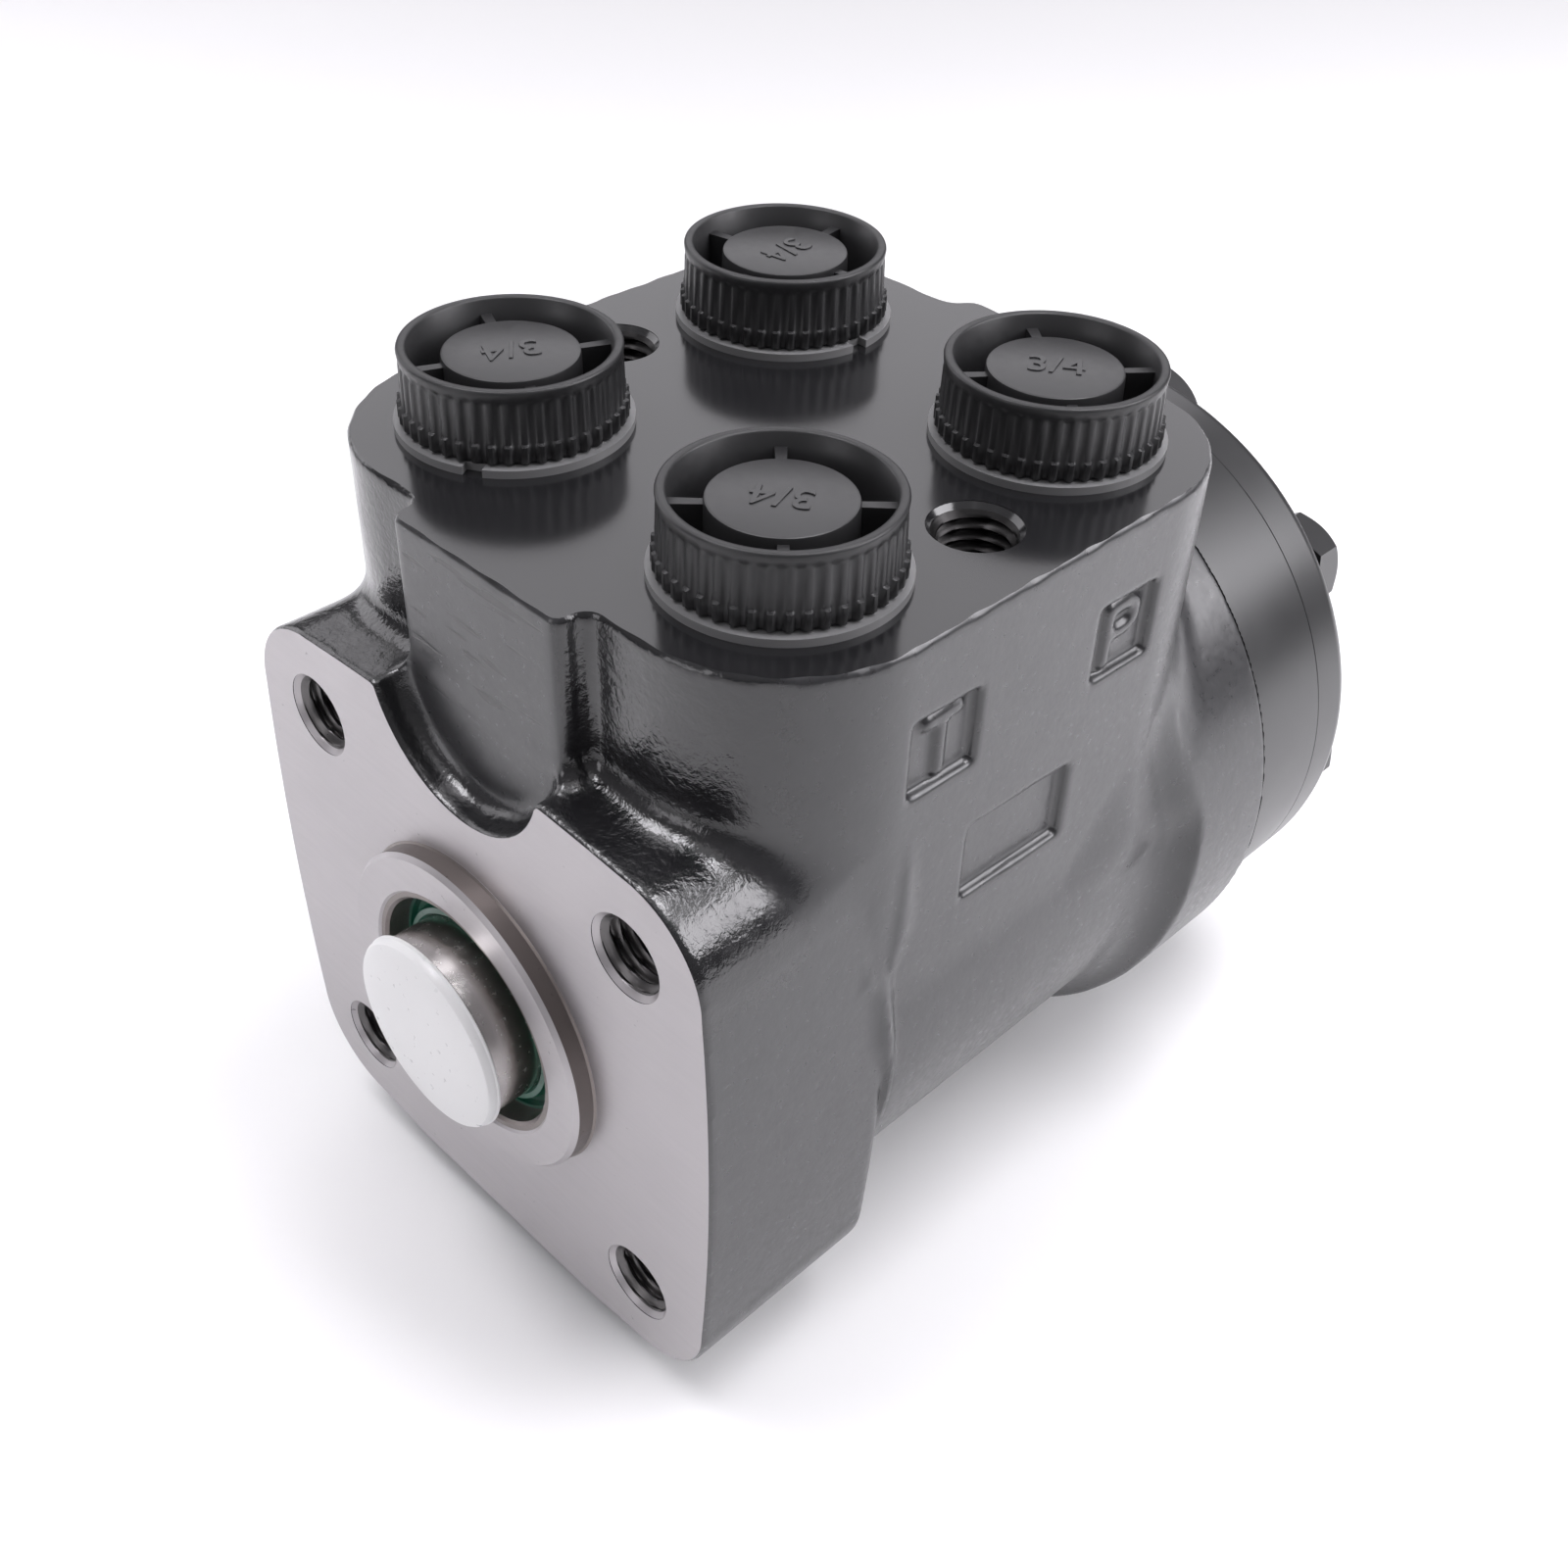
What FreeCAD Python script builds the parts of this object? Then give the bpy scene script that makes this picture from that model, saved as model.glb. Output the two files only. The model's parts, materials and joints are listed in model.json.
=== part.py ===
import FreeCAD, Part
import math
import os

# Orbital steering unit: a cast housing with four ports, a spool and sleeve rotary valve,
# and a gerotor metering gear behind it, closed by a bolted end cover.
# Millimetres. The origin is on the shaft axis in the machined flange face.
# X is to the right seen from the flange, Y runs back along the shaft, Z points up to the ports.

os.makedirs("parts", exist_ok=True)
V = FreeCAD.Vector
AXIS_Y = V(0, 1, 0)
AXIS_Z = V(0, 0, 1)
ORIGIN = V(0, 0, 0)
FAR = 400.0

# Running and seating clearances
running_gap = 0.06
end_gap = 0.04
seat_gap = 0.08
loose_gap = 0.2

# Flange block
flange_half_width = 42.8
flange_half_height = 42.2
flange_corner_r = 12.5
flange_side_bulge = 1.2
flange_foot_half = 18.0
flange_depth = 30.0
flange_rear_chamfer = 1.6
column_bolt_square = 58.3
column_tap_r = 4.25
column_tap_depth = 18.0
spigot_r = 22.5
spigot_height = 3.0
spigot_chamfer = 0.5
scoop_r = 15.3
scoop_centre_z = 46.0

# Port block
deck_z = 62.7
port_pitch_x = 45.0
port_pitch_y = 45.0
front_port_y = 28.5
lobe_r = 19.8
nose_half_width = 14.5
nose_face_y = 4.4
nose_edge_r = 1.6
tail_half_width = 9.0
tail_face_y = 96.2
deck_bolt_pitch = 61.0
deck_tap_depth = 16.0
port_tap_r = 8.75
port_depth = 17.0
passage_r = 3.0
passage_offset = 5.7
passage_foot_z = 7.0

# Cast pads beside the ports, each a recess with a raised port letter in it
pad_depth = 1.3
mark_pad_length = 11.2
mark_pad_height = 10.6
mark_pad_z = 47.4
front_pad_y = 34.6
rear_pad_y = 66.6
number_pad_length = 19.0
number_pad_height = 11.4
number_pad_y = 50.2
number_pad_z = 26.0
letter_width = 5.0
letter_height = 7.2
letter_stroke = 1.8
letter_drop = 0.4

# Round body behind the flange
barrel_r = 44.0
rear_flange_step = 3.7
flare_start_y = 78.0
flare_length = 9.0
rear_edge_chamfer = 1.4
housing_length = 103.4

# Seals and thrust bearing at the front of the bore
neck_share = 0.666
mouth_r = 16.0
dust_seal_front_y = -1.4
dust_seal_length = 3.8
dust_lip_length = 1.2
seal_web = 1.8
shaft_seal_r = 17.0
shaft_seal_length = 6.2
bearing_neck_gap = 0.85
race_thickness = 2.2
needle_r = 1.0
needle_count = 18
cage_rim = 0.75
cage_thickness = 1.3

# Spool and sleeve
sleeve_r = 19.0
spool_r = 14.0
spool_bore_r = 10.4
spool_front_y = -6.3
neck_chamfer = 0.6
socket_depth = 20.0
socket_teeth = 12
socket_minor_r = 7.6
socket_major_r = 8.9
valve_angle = 8.0
pin_y = 45.0
pin_r = 4.1
pin_recess = 0.6
spool_wall_ahead_of_pin = 11.0
spring_window_offset = 0.4
spring_window_length = 6.8
spring_window_height = 4.2
spring_leaf_thickness = 0.4
spring_flat_thickness = 0.5
spring_side_gap = 0.1
spring_bow = 0.68
spring_ring_wall = 1.5
spring_ring_length = 7.8
sleeve_groove_depth = 0.8
sleeve_groove_length = 4.0
sleeve_hole_r = 1.5
sleeve_hole_count = 12
chamber_row_inset = 18.4
spool_slot_count = 6
spool_slot_width = 3.0
spool_slot_depth = 1.3
spool_slot_length = 22.0

# Gear set behind the housing
stack_step = 1.5
plate_thickness = 7.2
gear_width = 10.0
cover_thickness = 8.4
cover_edge_chamfer = 1.8
lobe_count = 7
lobe_inset = 4.3
gear_lobe_r = 7.5
orbit_offset = 2.8
rotor_arcs_per_lobe = 12
gear_flank_gap = 0.1
pocket_gap = 0.15
pocket_corner_r = 1.2
plate_centre_r = 13.6
chamber_hole_r = 2.0
chamber_hole_inset = 5.4

# Drive shaft between valve and gear
drive_r = 6.5
fork_r = 8.6
fork_reach = 9.0
fork_back = 8.0
fork_slot_gap = 0.15
fork_slot_extra = 0.8
drive_teeth = 12
drive_root_r = 8.5
drive_tip_r = 10.2
drive_head_length = 7.4
drive_head_crown = 0.5
gear_spline_minor_r = 9.0
gear_spline_major_r = 10.8
spline_side_gap = 0.35
spacer_r = 8.2
spacer_thickness = 2.8
spacer_gap = 0.8

# Sealing rings between the stacked discs
ring_inset = 2.8
ring_section_r = 0.75
ring_groove_half = 0.95

# Cover bolts
bolt_inset = 9.2
bolt_r = 4.0
bolt_hole_gap = 0.2
bolt_thread_gap = 0.05
bolt_length = 45.0
bolt_across_flats = 13.0
bolt_head_height = 5.3
washer_r = 6.6
washer_thickness = 1.5
pin_bolt_nose_r = 1.75
pin_bolt_nose_length = 11.0

# Check valve in the rear face of the housing
check_inset = 1.3
check_ball_r = 3.9
check_lift = 1.5
check_bore_r = 4.2
check_seat_r = 2.6
check_seat_length = 14.0
bushing_r = 5.0
bushing_bore_r = 2.0
bushing_length = 9.0

# Port plugs and shaft cap
plug_head_r = 13.6
plug_rim_r = 11.8
plug_head_taper = 0.25
plug_top_z = 72.8
plug_floor = 1.6
plug_post_r = 8.2
plug_post_drop = 1.1
plug_spoke_width = 1.3
plug_spoke_drop = 0.9
plug_wall = 1.8
plug_shank_gap = 0.15
plug_shank_length = 11.0
gasket_r = 14.35
gasket_thickness = 1.0
gasket_notch_width = 2.4
gasket_notch_depth = 1.4
cap_r = 14.0
cap_thickness = 1.3
cap_dome = 0.25
cap_shank_gap = 0.2
cap_shank_length = 9.0
cap_wall = 1.4

# Places worked out from the sizes above
port_x = port_pitch_x / 2
rear_port_y = front_port_y + port_pitch_y
mid_port_y = (front_port_y + rear_port_y) / 2
side_x = port_x + lobe_r
rear_flange_r = barrel_r + rear_flange_step
stack_r = barrel_r + stack_step
bolt_pitch_r = stack_r - bolt_inset
ring_pitch_r = stack_r - ring_inset
lobe_pitch_r = bolt_pitch_r - lobe_inset
chamber_hole_pitch_r = lobe_pitch_r - chamber_hole_inset
check_pitch_r = bolt_pitch_r - check_inset
spigot_face_y = -spigot_height
neck_r = sleeve_r * neck_share
bearing_inner_r = neck_r + bearing_neck_gap
dust_seal_rear_y = dust_seal_front_y + dust_seal_length
shaft_seal_front_y = dust_seal_rear_y + seal_web
outer_race_front_y = shaft_seal_front_y + shaft_seal_length + 2 * end_gap
cage_front_y = outer_race_front_y + race_thickness
inner_race_front_y = cage_front_y + 2 * needle_r + 2 * end_gap
valve_front_y = inner_race_front_y + race_thickness + end_gap
cage_r = sleeve_r - loose_gap
needle_length = cage_r - bearing_inner_r - 2 * cage_rim
needle_pitch_r = (cage_r + bearing_inner_r) / 2
valve_rear_y = housing_length - 3 * end_gap
main_bore_r = sleeve_r + running_gap
sleeve_bore_r = spool_r + running_gap
spring_window_y = valve_front_y + spring_window_offset
spring_ring_y = valve_front_y + spring_window_offset / 2
plate_rear_y = housing_length + plate_thickness
gear_rear_y = plate_rear_y + gear_width
cover_rear_y = gear_rear_y + cover_thickness
lobe_step = 360.0 / lobe_count
first_lobe_angle = 90.0
chamber_angle = first_lobe_angle + lobe_step / 2
pocket_r = lobe_pitch_r - gear_lobe_r + 2 * orbit_offset + pocket_gap
rotor_lobes = lobe_count - 1
rotor_centre_z = -orbit_offset
plug_floor_z = deck_z + gasket_thickness
bushing_front_y = housing_length - end_gap - bushing_length
check_ball_y = bushing_front_y - check_lift - check_ball_r
check_seat_y = check_ball_y - math.sqrt(check_ball_r ** 2 - check_seat_r ** 2) - seat_gap
chamber_row_y = housing_length - chamber_row_inset
sleeve_feed_y = rear_port_y + sleeve_groove_length
sleeve_return_y = front_port_y + sleeve_groove_length


def save(name, shape):
    """Writes one node's STEP file."""
    shape.exportStep("parts/" + name + ".step")


def cyl_y(radius, y0, y1, x=0.0, z=0.0):
    """A round bar along Y."""
    return Part.makeCylinder(radius, y1 - y0, V(x, y0, z), AXIS_Y)


def cyl_z(radius, z0, z1, x, y):
    """A round bar along Z."""
    return Part.makeCylinder(radius, z1 - z0, V(x, y, z0), AXIS_Z)


def tube_y(outer, inner, y0, y1):
    """A round tube along Y on the shaft axis."""
    return cyl_y(outer, y0, y1).cut(cyl_y(inner, y0 - 1, y1 + 1))


def block(x0, x1, y0, y1, z0, z1):
    """A rectangular block between two corners."""
    return Part.makeBox(x1 - x0, y1 - y0, z1 - z0, V(x0, y0, z0))


def turned(profile):
    """A solid turned about the shaft axis from (radius, y) corners."""
    points = [V(r, y, 0) for r, y in profile]
    face = Part.Face(Part.makePolygon(points + points[:1]))
    return face.revolve(ORIGIN, AXIS_Y, 360)


def polar(radius, degrees):
    """The x and z of a point at an angle about the shaft, from +X towards +Z."""
    a = math.radians(degrees)
    return radius * math.cos(a), radius * math.sin(a)


def fused(shapes):
    """One solid from overlapping or touching ones."""
    return shapes[0].multiFuse(shapes[1:]).removeSplitter()


def around_y(shape, count, start=0.0):
    """Copies of a shape, evenly spaced about the shaft axis."""
    copies = []
    for k in range(count):
        turned_copy = shape.copy()
        turned_copy.rotate(ORIGIN, AXIS_Y, -(start + 360.0 * k / count))
        copies.append(turned_copy)
    return copies


def arc(a, b, c):
    """An edge along the arc through three points."""
    return Part.Arc(a, b, c).toShape()


def spline_ring(teeth, minor_r, major_r, tooth_share, y0, y1):
    """A toothed bar along Y: teeth reach the major radius and fill a share of the pitch."""
    half = math.pi / teeth * tooth_share
    points = []
    for k in range(teeth):
        middle = 2 * math.pi * k / teeth
        for r, a in ((minor_r, -1.25), (major_r, -0.75), (major_r, 0.75), (minor_r, 1.25)):
            angle = middle + a * half
            points.append(V(r * math.cos(angle), y0, r * math.sin(angle)))
    face = Part.Face(Part.makePolygon(points + points[:1]))
    return face.extrude(V(0, y1 - y0, 0))


def flange_block():
    """The square front flange with bulged sides and round corners."""
    cx = flange_half_width - flange_side_bulge - flange_corner_r
    cz = flange_half_height - flange_side_bulge - flange_corner_r
    diagonal = flange_corner_r * math.sqrt(0.5)
    low = -flange_half_height
    p = {
        "rb": V(cx + flange_corner_r, 0, -cz),
        "rt": V(cx + flange_corner_r, 0, cz),
        "tr": V(cx, 0, cz + flange_corner_r),
        "tl": V(-cx, 0, cz + flange_corner_r),
        "lt": V(-cx - flange_corner_r, 0, cz),
        "lb": V(-cx - flange_corner_r, 0, -cz),
        "bl": V(-cx, 0, -cz - flange_corner_r),
        "br": V(cx, 0, -cz - flange_corner_r),
        "fl": V(-flange_foot_half, 0, low),
        "fr": V(flange_foot_half, 0, low),
    }
    edges = [
        arc(p["rb"], V(flange_half_width, 0, 0), p["rt"]),
        arc(p["rt"], V(cx + diagonal, 0, cz + diagonal), p["tr"]),
        arc(p["tr"], V(0, 0, flange_half_height), p["tl"]),
        arc(p["tl"], V(-cx - diagonal, 0, cz + diagonal), p["lt"]),
        arc(p["lt"], V(-flange_half_width, 0, 0), p["lb"]),
        arc(p["lb"], V(-cx - diagonal, 0, -cz - diagonal), p["bl"]),
        Part.LineSegment(p["bl"], p["fl"]).toShape(),
        Part.LineSegment(p["fl"], p["fr"]).toShape(),
        Part.LineSegment(p["fr"], p["br"]).toShape(),
        arc(p["br"], V(cx + diagonal, 0, -cz - diagonal), p["rb"]),
    ]
    prism = Part.Face(Part.Wire(edges)).extrude(V(0, flange_depth, 0))
    rear = [e for e in prism.Edges if e.BoundBox.YMin > flange_depth / 2]
    return prism.makeChamfer(flange_rear_chamfer, rear)


def port_block():
    """The raised block under the ports: four round lobes, a nose and a tail."""
    parts = [block(-side_x, side_x, front_port_y, rear_port_y, 0, deck_z)]
    parts.append(block(-port_x, port_x, front_port_y - lobe_r, rear_port_y + lobe_r, 0, deck_z))
    for x in (-port_x, port_x):
        for y in (front_port_y, rear_port_y):
            parts.append(cyl_z(lobe_r, 0, deck_z, x, y))
    nose = block(-nose_half_width, nose_half_width, nose_face_y, front_port_y, 0, deck_z)
    nose_edges = []
    for edge in nose.Edges:
        box = edge.BoundBox
        at_front = box.YMax < nose_face_y + 0.01
        if at_front and box.ZMax - box.ZMin > 1:
            nose_edges.append(edge)
        if at_front and box.ZMin > deck_z - 0.01:
            nose_edges.append(edge)
    parts.append(nose.makeFillet(nose_edge_r, nose_edges))
    parts.append(block(-tail_half_width, tail_half_width, rear_port_y, tail_face_y, 0, deck_z))
    return fused(parts)


def barrel():
    """The round body with its conical flare and rear flange."""
    return turned([
        (0, flange_depth / 2),
        (barrel_r, flange_depth / 2),
        (barrel_r, flare_start_y),
        (rear_flange_r, flare_start_y + flare_length),
        (rear_flange_r, housing_length - rear_edge_chamfer),
        (rear_flange_r - rear_edge_chamfer, housing_length),
        (0, housing_length),
    ])


def pad_cut(side, y, z, length, height):
    """The space of one shallow cast pad in a side wall, with slanted ends."""
    slant = height * 0.06
    x = side * (side_x - pad_depth)
    points = [
        V(x, y - length / 2, z + height / 2),
        V(x, y + length / 2, z + height / 2 + slant),
        V(x, y + length / 2 - slant, z - height / 2 - slant),
        V(x, y - length / 2 + slant, z - height / 2),
    ]
    face = Part.Face(Part.makePolygon(points + points[:1]))
    return face.extrude(V(side * 2 * pad_depth, 0, 0))


# Strokes of the port letters, as corners of a box one letter wide and one letter high
letter_strokes = {
    "T": [((0, 1), (1, 1)), ((0.5, 0), (0.5, 1))],
    "L": [((0, 1), (0, 0)), ((0, 0), (1, 0))],
    "P": [((0, 0), (0, 1)), ((0, 1), (0.7, 1)), ((0.7, 1), (1, 0.86)), ((1, 0.86), (1, 0.62)),
          ((1, 0.62), (0.7, 0.48)), ((0.7, 0.48), (0, 0.48))],
}
letter_strokes["R"] = letter_strokes["P"] + [((0.55, 0.48), (1, 0))]


def port_letter(name, side, pad_y):
    """A raised letter that stands in the middle of a pad, read from outside."""
    y0 = pad_y - side * letter_width / 2
    z0 = mark_pad_z - letter_height / 2
    x0 = side_x - pad_depth - 0.5
    rise = pad_depth + 0.5 - letter_drop
    pieces = []
    for a, b in letter_strokes[name]:
        start = V(side * x0, y0 + side * a[0] * letter_width, z0 + a[1] * letter_height)
        end = V(side * x0, y0 + side * b[0] * letter_width, z0 + b[1] * letter_height)
        across = (end - start).cross(V(1, 0, 0)).normalize() * (letter_stroke / 2)
        corners = [start + across, end + across, end - across, start - across]
        face = Part.Face(Part.makePolygon(corners + corners[:1]))
        pieces.append(face.extrude(V(side * rise, 0, 0)))
        for point in (start, end):
            pieces.append(Part.makeCylinder(letter_stroke / 2, rise, point, V(side, 0, 0)))
    return fused(pieces)


def check_place():
    """The x and z of the check valve bore, between two cover bolts on the pump side."""
    return polar(check_pitch_r, first_lobe_angle - lobe_step / 2)


def housing():
    """The cast body with all its machined holes."""
    body = fused([flange_block(), port_block(), barrel()])
    half_square = column_bolt_square / 2
    cuts = [cyl_y(scoop_r, -1, nose_face_y, 0, scoop_centre_z)]
    for x in (-half_square, half_square):
        for z in (-half_square, half_square):
            cuts.append(cyl_y(column_tap_r, -1, column_tap_depth, x, z))
    for x in (-port_x, port_x):
        for y in (front_port_y, rear_port_y):
            cuts.append(cyl_z(port_tap_r, deck_z - port_depth, deck_z + 1, x, y))
            passage_x = math.copysign(port_x - passage_offset, x)
            cuts.append(cyl_z(passage_r, passage_foot_z, deck_z - port_depth + 1, passage_x, y))
    for x in (-deck_bolt_pitch / 2, deck_bolt_pitch / 2):
        cuts.append(cyl_z(column_tap_r, deck_z - deck_tap_depth, deck_z + 1, x, mid_port_y))
    for side in (-1, 1):
        cuts.append(pad_cut(side, front_pad_y, mark_pad_z, mark_pad_length, mark_pad_height))
        cuts.append(pad_cut(side, rear_pad_y, mark_pad_z, mark_pad_length, mark_pad_height))
    cuts.append(pad_cut(1, number_pad_y, number_pad_z, number_pad_length, number_pad_height))
    cuts.append(cyl_y(main_bore_r, outer_race_front_y - end_gap, housing_length + 1))
    cuts.append(cyl_y(shaft_seal_r, shaft_seal_front_y, outer_race_front_y))
    cuts.append(cyl_y(neck_r + loose_gap, spigot_face_y - 1, shaft_seal_front_y + 1))
    cuts.append(cyl_y(mouth_r, spigot_face_y - 1, dust_seal_rear_y))
    bolt_tip_y = cover_rear_y + washer_thickness - bolt_length
    for k in range(lobe_count):
        x, z = polar(bolt_pitch_r, first_lobe_angle + k * lobe_step)
        nose = pin_bolt_nose_length if k == lobe_count - 1 else 0
        depth_y = bolt_tip_y - bolt_r - nose
        cuts.append(cyl_y(bolt_r + bolt_thread_gap, depth_y, housing_length + 1, x, z))
    x, z = check_place()
    cuts.append(cyl_y(bushing_r + seat_gap, bushing_front_y, housing_length + 1, x, z))
    cuts.append(cyl_y(check_bore_r, check_seat_y, housing_length, x, z))
    cuts.append(cyl_y(check_seat_r, check_seat_y - check_seat_length, housing_length, x, z))
    body = body.cut(cuts)
    for name, side, y in (
        ("T", 1, front_pad_y),
        ("P", 1, rear_pad_y),
        ("L", -1, front_pad_y),
        ("R", -1, rear_pad_y),
    ):
        body = fused([body, port_letter(name, side, y)])
    spigot = cyl_y(spigot_r, spigot_face_y, 0)
    spigot = spigot.makeChamfer(spigot_chamfer, [front_edge(spigot, spigot_face_y)])
    spigot = spigot.cut(cyl_y(mouth_r, spigot_face_y - 1, 1))
    return fused([body, spigot])


def front_edge(shape, y):
    """The round edge of a shape that lies in the plane at y."""
    for edge in shape.Edges:
        if abs(edge.BoundBox.YMin - y) < 0.01 and abs(edge.BoundBox.YMax - y) < 0.01:
            return edge
    return None


def dust_seal():
    """The wiper ring in the mouth, with a lip that leans on the shaft neck."""
    inner = neck_r + running_gap
    lip_r = inner + 1.1
    y0 = dust_seal_front_y
    y1 = dust_seal_rear_y
    profile = [
        (mouth_r, y0 + dust_lip_length),
        (mouth_r, y1),
        (lip_r + 0.6, y1),
        (inner, y1 - dust_lip_length),
        (inner, y0 + dust_lip_length),
        (inner + 0.3, y0),
        (lip_r, y0),
        (lip_r + 0.5, y0 + dust_lip_length),
    ]
    return turned(profile)


def shaft_seal():
    """The pressure seal around the neck, with a groove on its inner face."""
    inner = neck_r + running_gap
    y0 = shaft_seal_front_y
    y1 = y0 + shaft_seal_length
    middle = (y0 + y1) / 2
    groove = shaft_seal_length / 6
    profile = [
        (shaft_seal_r, y0),
        (shaft_seal_r, y1),
        (inner, y1),
        (inner, middle + groove),
        (inner + groove, middle),
        (inner, middle - groove),
        (inner, y0),
    ]
    return turned(profile)


def bearing():
    """The thrust needle bearing as race, cage, needles and race."""
    outer = tube_y(sleeve_r - seat_gap, bearing_inner_r, outer_race_front_y, cage_front_y)
    inner = tube_y(
        sleeve_r - running_gap,
        neck_r + seat_gap,
        inner_race_front_y,
        inner_race_front_y + race_thickness,
    )
    middle_y = cage_front_y + end_gap + needle_r
    cage = tube_y(
        cage_r,
        bearing_inner_r,
        middle_y - cage_thickness / 2,
        middle_y + cage_thickness / 2,
    )
    x0 = needle_pitch_r - needle_length / 2
    needle = Part.makeCylinder(needle_r, needle_length, V(x0, middle_y, 0), V(1, 0, 0))
    window = block(
        x0 - seat_gap,
        x0 + needle_length + seat_gap,
        middle_y - needle_r,
        middle_y + needle_r,
        -needle_r - seat_gap,
        needle_r + seat_gap,
    )
    needles = Part.Compound(around_y(needle, needle_count))
    cage = cage.cut(around_y(window, needle_count))
    return outer, cage, needles, inner


def spring_window():
    """The slot through spool and sleeve that holds the centring springs."""
    half = spring_window_height / 2
    y1 = spring_window_y + spring_window_length
    return block(-FAR, FAR, spring_window_y, y1, -half, half)


def spring_ring_inner_r():
    """The radius that the sleeve is turned down to under the spring ring."""
    return sleeve_r - seat_gap - spring_ring_wall


def sleeve():
    """The outer valve sleeve with its ports, spring slots and pin hole."""
    body = tube_y(sleeve_r, sleeve_bore_r, valve_front_y, valve_rear_y)
    recess_end_y = spring_ring_y + spring_ring_length + end_gap
    recess = tube_y(FAR, spring_ring_inner_r() - seat_gap, valve_front_y - 1, recess_end_y)
    cuts = [recess, spring_window()]
    cuts.append(Part.makeCylinder(pin_r + running_gap, 2 * FAR, V(-FAR, pin_y, 0), V(1, 0, 0)))
    for y in (sleeve_feed_y, sleeve_return_y):
        groove = tube_y(
            sleeve_r + 1,
            sleeve_r - sleeve_groove_depth,
            y - sleeve_groove_length / 2,
            y + sleeve_groove_length / 2,
        )
        cuts.append(groove)
    for y in (sleeve_feed_y, chamber_row_y):
        hole = Part.makeCylinder(sleeve_hole_r, sleeve_r + 1, V(0, y, 0), V(1, 0, 0))
        step = 180.0 / sleeve_hole_count
        cuts += around_y(hole, sleeve_hole_count, step)
    return body.cut(cuts)


def cross_pin():
    """The pin through sleeve, spool and drive shaft."""
    half = sleeve_r - pin_recess
    pin = Part.makeCylinder(pin_r, 2 * half, V(-half, pin_y, 0), V(1, 0, 0))
    return pin.makeChamfer(0.4, [e for e in pin.Edges if abs(e.BoundBox.XLength) < 0.01])


def spring_ring():
    """The ring that holds the springs in the sleeve."""
    inner = spring_ring_inner_r()
    y0 = spring_ring_y
    return tube_y(sleeve_r - seat_gap, inner, y0, y0 + spring_ring_length)


def leaf(bottom, thickness, bow):
    """One leaf spring across the valve, bowed away from the middle by its bow."""
    half = spring_ring_inner_r() - spring_side_gap - 0.5
    y0 = spring_window_y + spring_side_gap
    width = spring_window_length - 2 * spring_side_gap
    top = bottom + thickness
    p = [
        V(-half, y0, bottom + bow),
        V(half, y0, bottom + bow),
        V(half, y0, top + bow),
        V(-half, y0, top + bow),
    ]
    if bow == 0:
        under = Part.LineSegment(p[0], p[1]).toShape()
        over = Part.LineSegment(p[2], p[3]).toShape()
    else:
        under = arc(p[0], V(0, y0, bottom), p[1])
        over = arc(p[2], V(0, y0, top), p[3])
    ends = [Part.LineSegment(p[1], p[2]).toShape(), Part.LineSegment(p[3], p[0]).toShape()]
    wire = Part.Wire([under, ends[0], over, ends[1]])
    return Part.Face(wire).extrude(V(0, width, 0))


def springs():
    """The two flat leaves in the middle and the four bowed ones about them."""
    flats = [leaf(0, spring_flat_thickness, 0)]
    bowed = []
    for k in range(2):
        start = spring_flat_thickness + 0.02 + k * (spring_leaf_thickness + 0.02)
        bowed.append(leaf(start, spring_leaf_thickness, spring_bow))
    mirror = [s.mirror(ORIGIN, AXIS_Z) for s in flats + bowed]
    return Part.Compound(flats + mirror[:1]), Part.Compound(bowed + mirror[1:])


def spool():
    """The inner valve spool with its neck, splined socket, slots and pin clearance."""
    main = cyl_y(spool_r, valve_front_y, valve_rear_y)
    neck = cyl_y(neck_r, spool_front_y, valve_front_y)
    neck = neck.makeChamfer(neck_chamfer, [front_edge(neck, spool_front_y)])
    body = fused([main, neck])
    bore_front_y = pin_y - spool_wall_ahead_of_pin
    cuts = [cyl_y(spool_bore_r, bore_front_y, valve_rear_y + 1)]
    socket_end_y = spool_front_y + socket_depth
    cuts.append(cyl_y(socket_minor_r, spool_front_y - 1, socket_end_y))
    cuts.append(spline_ring(
        socket_teeth, socket_minor_r - 0.2, socket_major_r, 0.5, spool_front_y - 1, socket_end_y))
    cuts.append(spring_window())
    travel = spool_r * math.sin(math.radians(valve_angle)) + seat_gap
    hole_r = pin_r + travel
    cuts.append(Part.makeCylinder(hole_r, 2 * FAR, V(-FAR, pin_y, 0), V(1, 0, 0)))
    slot = block(
        spool_r - spool_slot_depth,
        spool_r + 1,
        chamber_row_y - spool_slot_length,
        chamber_row_y,
        -spool_slot_width / 2,
        spool_slot_width / 2,
    )
    cuts += around_y(slot, spool_slot_count, 180.0 / spool_slot_count)
    return body.cut(cuts)


def seal_groove(face_y, direction):
    """The groove for a sealing ring in a face, cut to one side of it."""
    depth = direction * 2 * ring_section_r
    y0 = min(face_y, face_y + depth)
    y1 = max(face_y, face_y + depth)
    return cyl_y(ring_pitch_r + ring_groove_half, y0, y1).cut(
        cyl_y(ring_pitch_r - ring_groove_half, y0 - 1, y1 + 1))


def seal_ring(face_y, direction):
    """A sealing ring with an eight-sided section that fills its groove from floor to face."""
    y = face_y + direction * ring_section_r
    corner = ring_section_r / math.cos(math.pi / 8)
    section = []
    for k in range(8):
        a = math.pi / 8 + k * math.pi / 4
        section.append((ring_pitch_r + corner * math.cos(a), y + corner * math.sin(a)))
    return turned(section)


def bolt_circle(radius, y0, y1):
    """Round bars at the places of all cover bolts."""
    bars = []
    for k in range(lobe_count):
        x, z = polar(bolt_pitch_r, first_lobe_angle + k * lobe_step)
        bars.append(cyl_y(radius, y0, y1, x, z))
    return bars


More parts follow.
